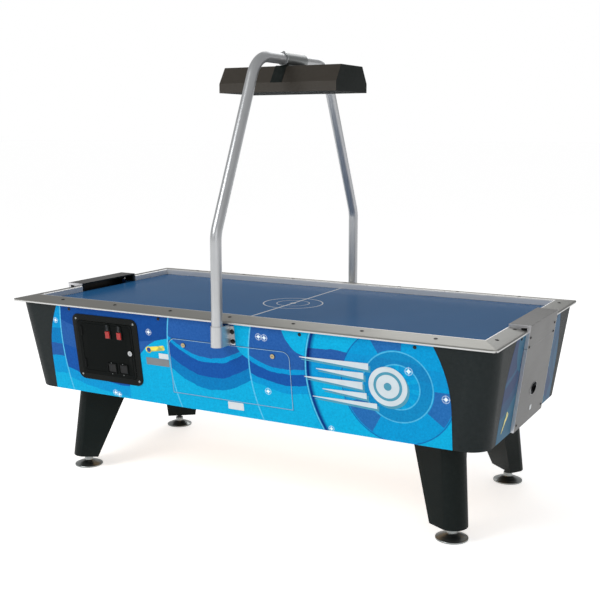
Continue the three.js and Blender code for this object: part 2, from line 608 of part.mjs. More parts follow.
function buildBlower() {
  const { x, y, radius, height, wall, intake } = BLOWER;
  const base = FLOOR.z + FLOOR.thick + GAP;
  const roof = base + height;
  const at = [x, y, 0];
  const housing = cut(
    rod('z', radius, at, base, roof, 40),
    rod('z', radius - wall, at, base + wall, roof - wall, 40),
    rod('z', intake, at, base - 1, base + wall + 1, 32),
    rod('z', 11, at, roof - wall - 1, roof + 1),
    block([x + 100, DUCT.y[0] + 3, DUCT.z[0] + 3], [x + 200, DUCT.y[1] - 3, DUCT.z[1] - 3]),
  );
  add('blower_housing', housing, GREY_METAL);

  const level = (up, thick) => [base + up, base + up + thick];
  const blades = [];
  for (let i = 0; i < IMPELLER.blades; i += 1) {
    const blade = new THREE.BoxGeometry(...IMPELLER.blade).rotateZ(IMPELLER.bladeTurn);
    blade.translate(IMPELLER.bladeRadius, 0, base + IMPELLER.bladeUp);
    blades.push(toSolid(blade.rotateZ(i * 2 * Math.PI / IMPELLER.blades).translate(x, y, 0)));
  }
  const ring = cut(
    rod('z', IMPELLER.radius, at, ...level(IMPELLER.ringUp, IMPELLER.ringThick), 32),
    rod('z', IMPELLER.eye, at, base, roof, 32));
  const impeller = join(
    rod('z', IMPELLER.radius, at, ...level(IMPELLER.backUp, IMPELLER.backThick), 32),
    ring,
    ...blades,
    rod('z', IMPELLER.hub, at, base + IMPELLER.hubUp, base + IMPELLER.backUp + 2),
    rod('z', IMPELLER.shaft, at, base + IMPELLER.backUp - 5, roof + IMPELLER.shaftAbove, 16));
  add('blower_impeller', impeller, DARK_METAL);

  const { bore, flange, flangeTop, body, bodyFrom, bodyTo, cap, top } = MOTOR;
  const profile = [[bore, GAP], [flange, GAP], [flange, flangeTop], [body, bodyFrom], [body, bodyTo],
    [cap, top], [bore, top]];
  const points = [...profile, profile[0]].map(([r, up]) => new THREE.Vector2(r, roof + up));
  const motor = new THREE.LatheGeometry(points, 32).rotateX(Math.PI / 2).translate(x, y, 0);
  add('blower_motor', toSolid(motor), DARK_METAL);

  const { x: dx, riserX, y: dy, z: dz, wall: dw } = DUCT;
  const ceiling = PLENUM.z - GAP;
  const outerDuct = join(block([dx[0], dy[0], dz[0]], [dx[1], dy[1], dz[1]]),
    block([riserX, dy[0], dz[0]], [dx[1], dy[1], ceiling]));
  const innerDuct = join(block([0, dy[0] + dw, dz[0] + dw], [dx[1] - dw, dy[1] - dw, dz[1] - dw]),
    block([riserX + dw, dy[0] + dw, dz[0] + dw], [dx[1] - dw, dy[1] - dw, ceiling + 10]));
  const clearHousing = rod('z', radius + GAP, at, 400, 700, 40);
  add('air_duct', cut(outerDuct, innerDuct, clearHousing), GREY_METAL);

  const supply = block([SUPPLY.x[0], SUPPLY.y[0], base], [SUPPLY.x[1], SUPPLY.y[1], base + SUPPLY.height]);
  add('power_supply', supply, GREY_METAL);

  const face = wallY(INLET.z);
  const plug = (halfX, halfZ, from, to) => block([INLET.x - halfX, face + from, INLET.z - halfZ],
    [INLET.x + halfX, face + to, INLET.z + halfZ]);
  const inlet = cut(
    join(plug(INLET.halfX, INLET.halfZ, -INLET.depth, 4), plug(INLET.flangeX, INLET.flangeZ, 3.2, 7)),
    plug(INLET.socketX, INLET.socketZ, -12, 10));
  add('power_inlet', inlet, BLACK_STEEL);
}

// ---- arch ----

// Centre line of one half of the arch: up, leaning in, then level to the middle, with round bends.
class ArchLine extends THREE.Curve {
  constructor(side) {
    super();
    const { y, bottom, bendZ, topZ, topY, bend } = ARCH;
    const knots = [[y, bottom], [y, bendZ], [topY, topZ], [2, topZ]].map(([v, w]) => new THREE.Vector2(v, w));
    this.side = side;
    this.stations = [knots[0]];
    for (let i = 1; i < knots.length - 1; i += 1) {
      const back = knots[i - 1].clone().sub(knots[i]).normalize();
      const on = knots[i + 1].clone().sub(knots[i]).normalize();
      const halfAngle = Math.acos(back.dot(on)) / 2;
      const reach = bend / Math.tan(halfAngle);
      const from = knots[i].clone().addScaledVector(back, reach);
      const to = knots[i].clone().addScaledVector(on, reach);
      const inward = back.clone().add(on).normalize();
      const centre = knots[i].clone().addScaledVector(inward, bend / Math.sin(halfAngle));
      const steps = i === 1 ? 4 : 9;
      const start = from.clone().sub(centre).angle();
      let sweep = to.clone().sub(centre).angle() - start;
      if (Math.abs(sweep) > Math.PI) sweep -= Math.sign(sweep) * 2 * Math.PI;
      for (let k = 0; k <= steps; k += 1) {
        const angle = start + sweep * k / steps;
        const around = new THREE.Vector2(Math.cos(angle), Math.sin(angle));
        this.stations.push(around.multiplyScalar(bend).add(centre));
      }
    }
    this.stations.push(knots[knots.length - 1]);
  }

  getUtoTmapping(u) {
    return u;
  }

  getPoint(t, target = new THREE.Vector3()) {
    const spans = this.stations.length - 1;
    const i = Math.min(Math.floor(t * spans), spans - 1);
    const point = this.stations[i].clone().lerp(this.stations[i + 1], t * spans - i);
    return target.set(0, this.side * point.x, point.y);
  }
}

function buildArch() {
  const { radius, wall, y } = ARCH;
  [['front', -1], ['rear', 1]].forEach(([place, side]) => {
    const line = new ArchLine(side);
    const section = new THREE.Shape().absarc(0, 0, radius, 0, 2 * Math.PI);
    section.holes.push(new THREE.Path().absarc(0, 0, radius - wall, 0, 2 * Math.PI));
    const tube = new THREE.ExtrudeGeometry(section, {
      extrudePath: line, steps: line.stations.length - 1, curveSegments: 10, bevelEnabled: false });
    add(`arch_${place}`, toSolid(tube), SILVER_PAINT);

    const { z, height, flangeHalf, outer, inner, plate, floor, reach } = BRACKET;
    const cy = side * y;
    const inside = side * (wallY(z) - reach);
    const span = (way, from, to) => [Math.min(way * from, way * to), Math.max(way * from, way * to)];
    const web = (way) => {
      const [from, to] = span(way, outer, outer - plate);
      return block([from, Math.min(cy, inside), z], [to, Math.max(cy, inside), z + height]);
    };
    const flange = (way) => {
      const [from, to] = span(way, outer - 3, flangeHalf);
      const low = z - CABINET.top;
      return placed(block([from, -plate - GAP, low], [to, -GAP, low + height - 5]), frontFace);
    };
    const flanges = join(flange(1), flange(-1));
    const flangePair = side < 0 ? flanges : toSolid(toGeometry(flanges).rotateZ(Math.PI));
    const bracket = cut(
      join(rod('z', outer, [0, cy, 0], z, z + height, 28), web(1), web(-1), flangePair),
      rod('z', inner, [0, cy, 0], z + floor, z + height + 1, 28),
      cabinetSolid(CABINET.bottom - 5, CABINET.top + 5, -GAP));
    add(`arch_bracket_${place}`, bracket, SILVER_PAINT);
  });

  const { half, outer, inner, hangerX, hangerY } = SLEEVE;
  const sleeve = cut(
    join(rod('y', outer, [0, 0, ARCH.topZ], -half, half, 28),
      block([-hangerX, -hangerY, HOOD.top + GAP], [hangerX, hangerY, ARCH.topZ - 20])),
    rod('y', inner, [0, 0, ARCH.topZ], -half - 5, half + 5, 28));
  add('arch_sleeve', sleeve, SILVER_PAINT);
}

// ---- lamp ----

function buildLamp() {
  const { halfX, halfY, topHalfY, bottom, shoulder, top, sheet } = HOOD;
  const section = (inset, low) => {
    const [wide, narrow] = [halfY - inset, topHalfY - inset * 0.8];
    return outline([[-wide, low], [wide, low], [wide, shoulder],
      [narrow, top - inset], [-narrow, top - inset], [-wide, shoulder]]);
  };
  const shell = cut(
    prism(section(0, bottom), 'x', -halfX, halfX),
    prism(section(sheet, bottom - 10), 'x', sheet - halfX, halfX - sheet));
  const socket = (side, y) => block(
    [side > 0 ? LAMP.length / 2 + GAP : -halfX + 1, y - LAMP.socketY, LAMP.z - LAMP.socketZ],
    [side > 0 ? halfX - 1 : -LAMP.length / 2 - GAP, y + LAMP.socketY, LAMP.z + LAMP.socketZ]);
  const sockets = [1, -1].flatMap((side) => [socket(side, LAMP.y), socket(side, -LAMP.y)]);
  add('lamp_hood', join(shell, ...sockets), BROWN_METAL);

  const tray = (edge, low, high) =>
    block([edge - halfX, edge - halfY, low], [halfX - edge, halfY - edge, high]);
  const inset = sheet + 1;
  const rim = tray(inset, bottom, bottom + DIFFUSER.height);
  const hollow = tray(inset + DIFFUSER.sheet, bottom + DIFFUSER.sheet, bottom + DIFFUSER.height + 5);
  add('lamp_diffuser', rim.subtract(hollow), OPAL);

  const tube = rod('x', LAMP.radius, [0, 0, LAMP.z], -LAMP.length / 2, LAMP.length / 2, 16);
  [['front', -1], ['rear', 1]].forEach(([place, side]) => {
    add(`lamp_tube_${place}`, tube, OPAL).position.set(0, side * LAMP.y, 0);
  });
}

buildCabinet();
buildPlayfield();
buildRails();
buildGoals();
buildLegs();
buildCoinDoor();
buildServiceDoor();
buildBlower();
buildArch();
buildLamp();

export default table;
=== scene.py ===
"""Coin-operated air hockey table: finishes and fine shapes round the fixed model.

Metres. X runs along the table, Y across it with the coin door side at -Y, Z is up, and the
origin is on the floor under the middle of the table.
"""

from __future__ import annotations

import json
import logging
import math
from dataclasses import dataclass
from enum import Enum
from typing import Callable, Iterable, Sequence

import bpy
from mathutils import Matrix, Vector

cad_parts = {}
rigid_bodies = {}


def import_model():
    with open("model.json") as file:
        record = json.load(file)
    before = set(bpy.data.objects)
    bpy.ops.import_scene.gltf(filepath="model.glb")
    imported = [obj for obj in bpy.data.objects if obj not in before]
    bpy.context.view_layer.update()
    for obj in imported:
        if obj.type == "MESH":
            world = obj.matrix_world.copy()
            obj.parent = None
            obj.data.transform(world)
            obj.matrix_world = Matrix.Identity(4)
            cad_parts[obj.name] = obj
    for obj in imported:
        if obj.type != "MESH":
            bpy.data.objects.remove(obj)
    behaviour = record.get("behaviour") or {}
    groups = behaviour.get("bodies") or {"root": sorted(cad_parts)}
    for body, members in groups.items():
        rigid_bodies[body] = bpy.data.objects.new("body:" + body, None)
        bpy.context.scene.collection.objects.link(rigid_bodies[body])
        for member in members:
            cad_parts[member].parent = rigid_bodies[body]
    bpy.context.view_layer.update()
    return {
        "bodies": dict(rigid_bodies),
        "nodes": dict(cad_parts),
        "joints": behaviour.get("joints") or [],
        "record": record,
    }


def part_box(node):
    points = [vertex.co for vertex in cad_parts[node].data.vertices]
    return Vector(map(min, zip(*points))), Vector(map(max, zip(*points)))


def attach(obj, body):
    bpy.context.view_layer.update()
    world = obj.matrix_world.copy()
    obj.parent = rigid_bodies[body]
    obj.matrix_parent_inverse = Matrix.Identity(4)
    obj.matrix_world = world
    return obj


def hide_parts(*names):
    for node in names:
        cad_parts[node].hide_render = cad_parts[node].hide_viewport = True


LOG = logging.getLogger("air_hockey_table")

Colour = tuple[float, float, float]
CORNERS = (("front_left", -1, -1), ("front_right", 1, -1), ("rear_left", -1, 1), ("rear_right", 1, 1))

# ---- driving sizes of the cabinet, as the fixed model has them ----

CABINET_TOP = 0.899
CABINET_HEIGHT = 0.447
FRONT_Y, FRONT_LOW_Y = 0.638, 0.574
END_X, END_LOW_X = 1.260, 1.2046
FRONT_SLOPE = math.atan((FRONT_Y - FRONT_LOW_Y) / CABINET_HEIGHT)
END_SLOPE = math.atan((END_X - END_LOW_X) / CABINET_HEIGHT)
PLATE_STAND = 0.015

Piece = bpy.types.Object
Socket = bpy.types.NodeSocket


class Face(Enum):
    """The four slanted sides of the cabinet."""

    FRONT = "front"
    REAR = "rear"
    RIGHT = "right"
    LEFT = "left"


def srgb(red: int, green: int, blue: int) -> Colour:
    """A display colour, 0 to 255 a channel, as linear light."""

    def linear(value: float) -> float:
        """One channel as linear light."""
        return value / 12.92 if value <= 0.04045 else ((value + 0.055) / 1.055) ** 2.4

    return (linear(red / 255), linear(green / 255), linear(blue / 255))


def on_face(face: Face, along: float, down: float, out: float = 0.0, turn: float = 0.0) -> Matrix:
    """The place of a piece on a slanted side, for a piece drawn flat with +Z as its front.

    Args:
        face: the side of the cabinet.
        along: distance from the middle of the side, to the right for someone facing it.
        down: distance down the slope from the cabinet's top edge.
        out: distance proud of the side.
        turn: turn of the piece in its own plane, in radians.
    Returns:
        The matrix that takes the flat piece to its place.
    """
    if face in (Face.FRONT, Face.REAR):
        base = Matrix.Translation((0, -FRONT_Y, CABINET_TOP)) @ Matrix.Rotation(FRONT_SLOPE, 4, "X")
        axes = Matrix(((1, 0, 0, 0), (0, 0, -1, 0), (0, 1, 0, 0), (0, 0, 0, 1)))
        half_turn = face is Face.REAR
    else:
        base = Matrix.Translation((END_X, 0, CABINET_TOP)) @ Matrix.Rotation(END_SLOPE, 4, "Y")
        axes = Matrix(((0, 0, 1, 0), (1, 0, 0, 0), (0, 1, 0, 0), (0, 0, 0, 1)))
        half_turn = face is Face.LEFT
    place = base @ axes @ Matrix.Translation((along, -down, out)) @ Matrix.Rotation(turn, 4, "Z")
    return Matrix.Rotation(math.pi, 4, "Z") @ place if half_turn else place


# ---- making and shaping meshes ----


def deselect() -> None:
    """Leaves nothing selected."""
    if bpy.context.mode != "OBJECT":
        bpy.ops.object.mode_set(mode="OBJECT")
    bpy.ops.object.select_all(action="DESELECT")


def activate(piece: Piece) -> None:
    """Makes a piece the only one selected, and the active one."""
    deselect()
    piece.select_set(True)
    bpy.context.view_layer.objects.active = piece


def edit(piece: Piece, *steps: Callable[[], object]) -> Piece:
    """Runs operators on a piece in edit mode, with all of it selected at the start.

    Args:
        piece: the mesh.
        steps: calls without arguments, run in order.
    Returns:
        The same piece.
    """
    activate(piece)
    bpy.ops.object.mode_set(mode="EDIT")
    bpy.ops.mesh.select_all(action="SELECT")
    for step in steps:
        step()
    bpy.ops.object.mode_set(mode="OBJECT")
    return piece


def pick(piece: Piece, kind: str, test: Callable[[object], bool]) -> None:
    """Selects the vertices (VERT) or faces (FACE) that pass a test, from edit mode, and stays in it."""
    bpy.ops.mesh.select_mode(type=kind)
    bpy.ops.mesh.select_all(action="DESELECT")
    bpy.ops.object.mode_set(mode="OBJECT")
    for item in piece.data.polygons if kind == "FACE" else piece.data.vertices:
        item.select = bool(test(item))
    bpy.ops.object.mode_set(mode="EDIT")


def extrude(*way: float) -> None:
    """Draws what is selected out in a straight line."""
    bpy.ops.mesh.extrude_region_move(TRANSFORM_OT_translate={"value": way})


def modify(piece: Piece, kind: str, **settings: object) -> Piece:
    """Adds a modifier, sets it and applies it."""
    activate(piece)
    modifier = piece.modifiers.new(kind.title(), kind)
    for name, value in settings.items():
        setattr(modifier, name, value)
    bpy.ops.object.modifier_apply(modifier=modifier.name)
    return piece


def soften(piece: Piece, bevel: float = 0.0, segments: int = 2, angle: float = 35.0) -> Piece:
    """Rounds the sharp edges of a piece and shades it smooth between them.

    Args:
        piece: the mesh.
        bevel: width of the rounding, or 0 for none.
        segments: steps across the rounding.
        angle: edges sharper than this, in degrees, are rounded or stay sharp.
    Returns:
        The same piece.
    """
    if bevel:
        modify(piece, "BEVEL", width=bevel, segments=segments, limit_method="ANGLE",
               angle_limit=math.radians(angle), use_clamp_overlap=True, harden_normals=False)
    activate(piece)
    bpy.ops.object.shade_smooth_by_angle(angle=math.radians(angle))
    if bevel:
        modify(piece, "WEIGHTED_NORMAL", keep_sharp=True)
    return piece


def outward(piece: Piece) -> Piece:
    """Merges a piece's doubles and turns its faces to point out."""
    return edit(piece, lambda: bpy.ops.mesh.remove_doubles(threshold=1e-6),
                lambda: bpy.ops.mesh.normals_make_consistent(inside=False))


def settle(piece: Piece, place: Matrix | None = None) -> Piece:
    """Puts a piece's place into its mesh, so that its object sits at the origin."""
    activate(piece)
    bpy.ops.object.transform_apply(location=True, rotation=True, scale=True)
    if place is not None:
        piece.data.transform(place)
    return piece


def block(name: str, low: Sequence[float], high: Sequence[float]) -> Piece:
    """A box between two corners, as a start for a piece."""
    centre = [(a + b) / 2 for a, b in zip(low, high)]
    deselect()
    bpy.ops.mesh.primitive_cube_add(size=1.0, location=centre)
    piece = bpy.context.object
    piece.name = name
    piece.scale = [b - a for a, b in zip(low, high)]
    return settle(piece)


def turned(name: str, profile: Sequence[tuple[float, float]], sides: int = 32) -> Piece:
    """A round piece about Z, raised from a filled circle ring by ring.

    Args:
        name: the piece's name.
        profile: radius and height of each ring, from the bottom up.
        sides: number of sides.
    Returns:
        The closed mesh.
    """
    radius, height = profile[0]
    deselect()
    bpy.ops.mesh.primitive_circle_add(vertices=sides, radius=radius, fill_type="NGON",
                                      location=(0, 0, height))
    piece = bpy.context.object
    piece.name = name
    settle(piece)
    activate(piece)
    bpy.ops.object.mode_set(mode="EDIT")
    bpy.ops.mesh.select_all(action="SELECT")
    for next_radius, next_height in profile[1:]:
        extrude(0, 0, next_height - height)
        factor = next_radius / radius
        bpy.ops.transform.resize(value=(factor, factor, 1), center_override=(0, 0, next_height))
        radius, height = next_radius, next_height
    bpy.ops.mesh.select_all(action="SELECT")
    bpy.ops.mesh.normals_make_consistent(inside=False)
    bpy.ops.object.mode_set(mode="OBJECT")
    return piece


def outline(name: str, width: float, height: float, corner: float = 0.0, steps: int = 6,
            top_only: bool = False) -> Piece:
    """A flat rectangle about the origin, with all its corners or only its upper two rounded."""
    deselect()
    bpy.ops.mesh.primitive_plane_add(size=1.0, location=(0, 0, 0))
    piece = bpy.context.object
    piece.name = name
    piece.scale = (width, height, 1)
    settle(piece)
    if corner:
        choose = [lambda: pick(piece, "VERT", lambda vertex: vertex.co.y > 0)] if top_only else []
        edit(piece, *choose, lambda: bpy.ops.mesh.bevel(offset=corner, segments=steps, affect="VERTICES"))
    return piece


def plate(name: str, width: float, height: float, thick: float, corner: float = 0.0) -> Piece:
    """A flat plate about the origin in X and Y, its back at Z = 0, with its corners rounded."""
    return edit(outline(name, width, height, corner), lambda: extrude(0, 0, thick),
                lambda: bpy.ops.mesh.select_all(action="SELECT"),
                lambda: bpy.ops.mesh.normals_make_consistent(inside=False))


def frame_band(name: str, size: tuple[float, float], band: float, thick: float, corner: float, steps: int = 8,
               top_only: bool = False) -> Piece:
    """A thin rounded frame about the origin: an outline with its middle taken out, given a thickness."""
    piece = outline(name, *size, corner, steps, top_only)
    edit(piece, lambda: bpy.ops.mesh.select_mode(type="FACE"),
         lambda: bpy.ops.mesh.inset(thickness=band, depth=0),
         lambda: bpy.ops.mesh.delete(type="FACE"))
    return outward(modify(piece, "SOLIDIFY", thickness=thick, offset=1.0))


def copies(master: Piece, places: Iterable[Matrix], label: str) -> list[Piece]:
    """Copies a piece to each place, each copy with its own mesh, and removes the first one."""
    made = []
    for number, place in enumerate(places, 1):
        piece = master.copy()
        piece.data = master.data.copy()
        piece.name = f"{label}_{number:02d}"
        bpy.context.scene.collection.objects.link(piece)
        piece.data.transform(place)
        if place.determinant() < 0:
            piece.data.flip_normals()
        made.append(piece)
    bpy.data.objects.remove(master)
    return made


# ---- materials ----


class Paint:
    """A material of nodes, put together by short calls."""

    def __init__(self, name: str) -> None:
        """Starts a material with its shader and its object coordinates."""
        self.material = bpy.data.materials.new(name)
        self.material.use_nodes = True
        self.tree = self.material.node_tree
        self.shader = next(n for n in self.tree.nodes if n.type == "BSDF_PRINCIPLED")
        self.position = self.tree.nodes.new("ShaderNodeTexCoord").outputs["Object"]
        split = self.tree.nodes.new("ShaderNodeSeparateXYZ")
        self.tree.links.new(self.position, split.inputs[0])
        self.x, self.y, self.z = split.outputs

    def set(self, **values: object) -> "Paint":
        """Sets the shader's own sockets by name, with underscores for spaces."""
        for name, value in values.items():
            self.shader.inputs[name.replace("_", " ")].default_value = value
        return self

    def feed(self, socket: Socket, value: object) -> None:
        """Links a socket to another, or sets it."""
        if isinstance(value, bpy.types.NodeSocket):
            self.tree.links.new(value, socket)
        elif isinstance(value, tuple) and len(value) == 3 and socket.type == "RGBA":
            socket.default_value = (*value, 1)
        else:
            socket.default_value = value

    def math(self, operation: str, first: object, second: object = 0.0, third: object = 0.0) -> Socket:
        """One arithmetic step."""
        node = self.tree.nodes.new("ShaderNodeMath")
        node.operation = operation
        for socket, value in zip(node.inputs, (first, second, third)):
            self.feed(socket, value)
        return node.outputs[0]

    def product(self, first: object, *others: object) -> Socket:
        """Values multiplied together."""
        for value in others:
            first = self.math("MULTIPLY", first, value)
        return first

    def minus(self, first: object, second: object) -> Socket:
        """One value less another."""
        return self.math("SUBTRACT", first, second)

    def length(self, across: object, up: object) -> Socket:
        """Distance from the origin of two coordinates."""
        return self.math("SQRT", self.math("ADD", self.product(across, across), self.product(up, up)))

    def mix(self, share: object, first: object, second: object, mode: str = "MIX") -> Socket:
        """A colour between two colours."""
        node = self.tree.nodes.new("ShaderNodeMix")
        node.data_type = "RGBA"
        node.blend_type = mode
        self.feed(node.inputs["Factor"], share)
        colours = [s for s in node.inputs if s.type == "RGBA"]
        self.feed(colours[0], first)
        self.feed(colours[1], second)
        return next(s for s in node.outputs if s.type == "RGBA")

    def band(self, value: object, centre: object, half: float, soft: float) -> Socket:
        """1 where a value is within half of a centre, falling to 0 over soft."""
        away = self.math("ABSOLUTE", self.minus(value, centre))
        return self.ramp_between(away, half + soft, half)

    def ramp_between(self, value: object, zero_at: float, one_at: float) -> Socket:
        """A clamped straight ramp from 0 to 1."""
        node = self.tree.nodes.new("ShaderNodeMapRange")
        self.feed(node.inputs[0], value)
        for socket, number in zip(node.inputs[1:5], (zero_at, one_at, 0.0, 1.0)):
            socket.default_value = number
        return node.outputs[0]

    def steps(self, value: object, stops: Sequence[tuple[float, Colour]], smooth: bool = False) -> Socket:
        """Colours by a value from 0 to 1, in hard steps or blended."""
        node = self.tree.nodes.new("ShaderNodeValToRGB")
        node.color_ramp.interpolation = "EASE" if smooth else "CONSTANT"
        elements = node.color_ramp.elements
        while len(elements) < len(stops):
            elements.new(0.5)
        for element, (at, colour) in zip(elements, stops):
            element.position = at
            element.color = (*colour, 1)
        self.feed(node.inputs[0], value)
        return node.outputs[0]

    def noise(self, scale: float, detail: float = 3.0, stretch: Sequence[float] = (1, 1, 1),
              rough: float = 0.55) -> Socket:
        """Cloudy noise from 0 to 1: a small stretch along an axis draws it out that way."""
        vector = self.position
        if tuple(stretch) != (1, 1, 1):
            mapping = self.tree.nodes.new("ShaderNodeMapping")
            mapping.inputs["Scale"].default_value = stretch
            self.feed(mapping.inputs["Vector"], self.position)
            vector = mapping.outputs[0]
        node = self.tree.nodes.new("ShaderNodeTexNoise")
        node.inputs["Scale"].default_value = scale
        node.inputs["Detail"].default_value = detail
        node.inputs["Roughness"].default_value = rough
        self.feed(node.inputs["Vector"], vector)
        return node.outputs["Fac"]

    def cells(self, scale: float, feature: str = "F1") -> Socket:
        """Distance in a pattern of random cells."""
        node = self.tree.nodes.new("ShaderNodeTexVoronoi")
        node.feature = feature
        node.inputs["Scale"].default_value = scale
        self.feed(node.inputs["Vector"], self.position)
        return node.outputs["Distance"]

    def bump(self, height: Socket, strength: float, distance: float) -> "Paint":
        """Raises the surface by a height from 0 to 1, over any bump already there."""
        node = self.tree.nodes.new("ShaderNodeBump")
        node.inputs["Strength"].default_value = strength
        node.inputs["Distance"].default_value = distance
        self.feed(node.inputs["Height"], height)
        normal = self.shader.inputs["Normal"]
        if normal.is_linked:
            self.feed(node.inputs["Normal"], normal.links[0].from_socket)
        self.tree.links.new(node.outputs[0], normal)
        return self

    def colour(self, value: Socket) -> "Paint":
        """Links the base colour."""
        self.feed(self.shader.inputs["Base Color"], value)
        return self

    def roughness(self, value: Socket, low: float, high: float) -> "Paint":
        """Roughness from a value from 0 to 1, between two limits."""
        spread = self.math("MULTIPLY_ADD", value, high - low, low)
        self.feed(self.shader.inputs["Roughness"], spread)
        return self

    def worn_edges(self, amount: float = 0.5) -> Socket:
        """1 along convex edges, broken up by noise."""
        geometry = self.tree.nodes.new("ShaderNodeNewGeometry")
        edge = self.ramp_between(geometry.outputs["Pointiness"], 0.52, 0.58)
        return self.product(edge, self.noise(60, 4), amount)


@dataclass(frozen=True)
class SheetMetal:
    """Bare or plated metal with fine brush lines along one axis."""

    name: str
    tint: Colour
    low: float = 0.24
    high: float = 0.4
    stretch: tuple[float, float, float] = (0.02, 1, 1)
    grain: float = 380.0
    depth: float = 0.00004
    metallic: float = 1.0

    def make(self) -> bpy.types.Material:
        """Builds the material."""
        paint = Paint(self.name).set(Metallic=self.metallic)
        lines = paint.noise(self.grain, 4, self.stretch, 0.7)
        cloud = paint.noise(5, 3)
        dull = tuple(c * 0.82 for c in self.tint)
        paint.colour(paint.mix(cloud, self.tint, dull))
        blend = paint.math("MULTIPLY_ADD", lines, 0.6, paint.product(cloud, 0.4))
        paint.roughness(blend, self.low, self.high)
        return paint.bump(lines, 0.35, self.depth).material


@dataclass(frozen=True)
class Coating:
    """Paint or powder coat on metal: a fine orange peel, slight clouding and rubbed edges."""

    name: str
    tint: Colour
    rubbed: Colour
    low: float = 0.35
    high: float = 0.5
    grain: float = 700.0
    depth: float = 0.00012
    metallic: float = 0.0
    coat: float = 0.0
    shine: float = 0.25

    def make(self) -> bpy.types.Material:
        """Builds the material."""
        paint = Paint(self.name).set(Metallic=self.metallic, Coat_Weight=self.coat, Coat_Roughness=0.15,
                                     Specular_IOR_Level=self.shine)
        cloud = paint.noise(7, 4)
        light = tuple(min(1.0, c * 1.22) for c in self.tint)
        body = paint.mix(cloud, self.tint, light)
        paint.colour(paint.mix(paint.worn_edges(0.6), body, self.rubbed))
        peel = paint.noise(self.grain, 2)
        paint.roughness(cloud, self.low, self.high)
        return paint.bump(peel, 0.5, self.depth).material


@dataclass(frozen=True)
class GrainLaminate:
    """Dark laminate with a leather-like pressed grain."""

    name: str
    tint: Colour
    light: Colour

    def make(self) -> bpy.types.Material:
        """Builds the material."""
        paint = Paint(self.name).set(Specular_IOR_Level=0.1)
        cloud = paint.noise(4.5, 5)
        grain = paint.cells(430, "DISTANCE_TO_EDGE")
        pores = paint.ramp_between(grain, 0.0, 0.12)
        body = paint.mix(cloud, self.tint, self.light)
        darker = paint.mix(pores, tuple(c * 0.55 for c in self.tint), body)
        paint.colour(paint.mix(paint.worn_edges(0.5), darker, (0.05, 0.055, 0.055)))
        paint.roughness(cloud, 0.42, 0.56)
        return paint.bump(pores, 0.45, 0.00025).material


@dataclass(frozen=True)
class Plywood:
    """Bare plywood with long figure."""

    name: str
    tint: Colour

    def make(self) -> bpy.types.Material:
        """Builds the material."""
        paint = Paint(self.name)
        figure = paint.noise(26, 6, (0.12, 1, 1), 0.65)
        pores = paint.noise(240, 3, (0.04, 1, 1))
        dark = tuple(c * 0.55 for c in self.tint)
        body = paint.mix(paint.ramp_between(figure, 0.38, 0.66), self.tint, dark)
        paint.colour(paint.mix(paint.product(pores, 0.4), body, dark))
        paint.roughness(figure, 0.62, 0.85)
        return paint.bump(pores, 0.4, 0.0002).material


@dataclass(frozen=True)
class Plastic:
    """Moulded plastic or printed vinyl, glossy or dull."""

    name: str
    tint: Colour
    low: float = 0.2
    high: float = 0.35
    see_through: float = 0.0
    glow: float = 0.0
    coat: float = 0.0

    def make(self) -> bpy.types.Material:
        """Builds the material."""
        paint = Paint(self.name).set(Transmission_Weight=self.see_through, Coat_Weight=self.coat,
                                     Specular_IOR_Level=0.25, Emission_Strength=self.glow,
                                     Emission_Color=(*self.tint, 1))
        cloud = paint.noise(18, 4)
        paint.colour(paint.mix(cloud, self.tint, tuple(c * 0.8 for c in self.tint)))
        paint.roughness(paint.noise(90, 3), self.low, self.high)
        return paint.bump(paint.noise(300, 2), 0.15, 0.0001).material


@dataclass(frozen=True)
class Panel:
    """One stretch of the printed graphic between two bright seams: stacked wave bands.

    The bands follow down + bend * (along - middle) ** 2, so each dips towards its middle.
    A patch, where there is one, is a plain disc: along, down and radius.
    """

    middle: float
    bend: float
    bands: tuple[tuple[float, Colour], ...]
    patch: tuple[float, float, float] | None = None


DEEP = srgb(16, 72, 144)
ROYAL = srgb(38, 90, 160)
PURPLE = srgb(20, 82, 160)
OCEAN = srgb(2, 122, 184)
CYAN = srgb(2, 148, 206)
AQUA = srgb(6, 170, 216)
SEAM_LIGHT = srgb(90, 190, 226)
LILAC = srgb(44, 84, 158)
RING = srgb(14, 130, 186)


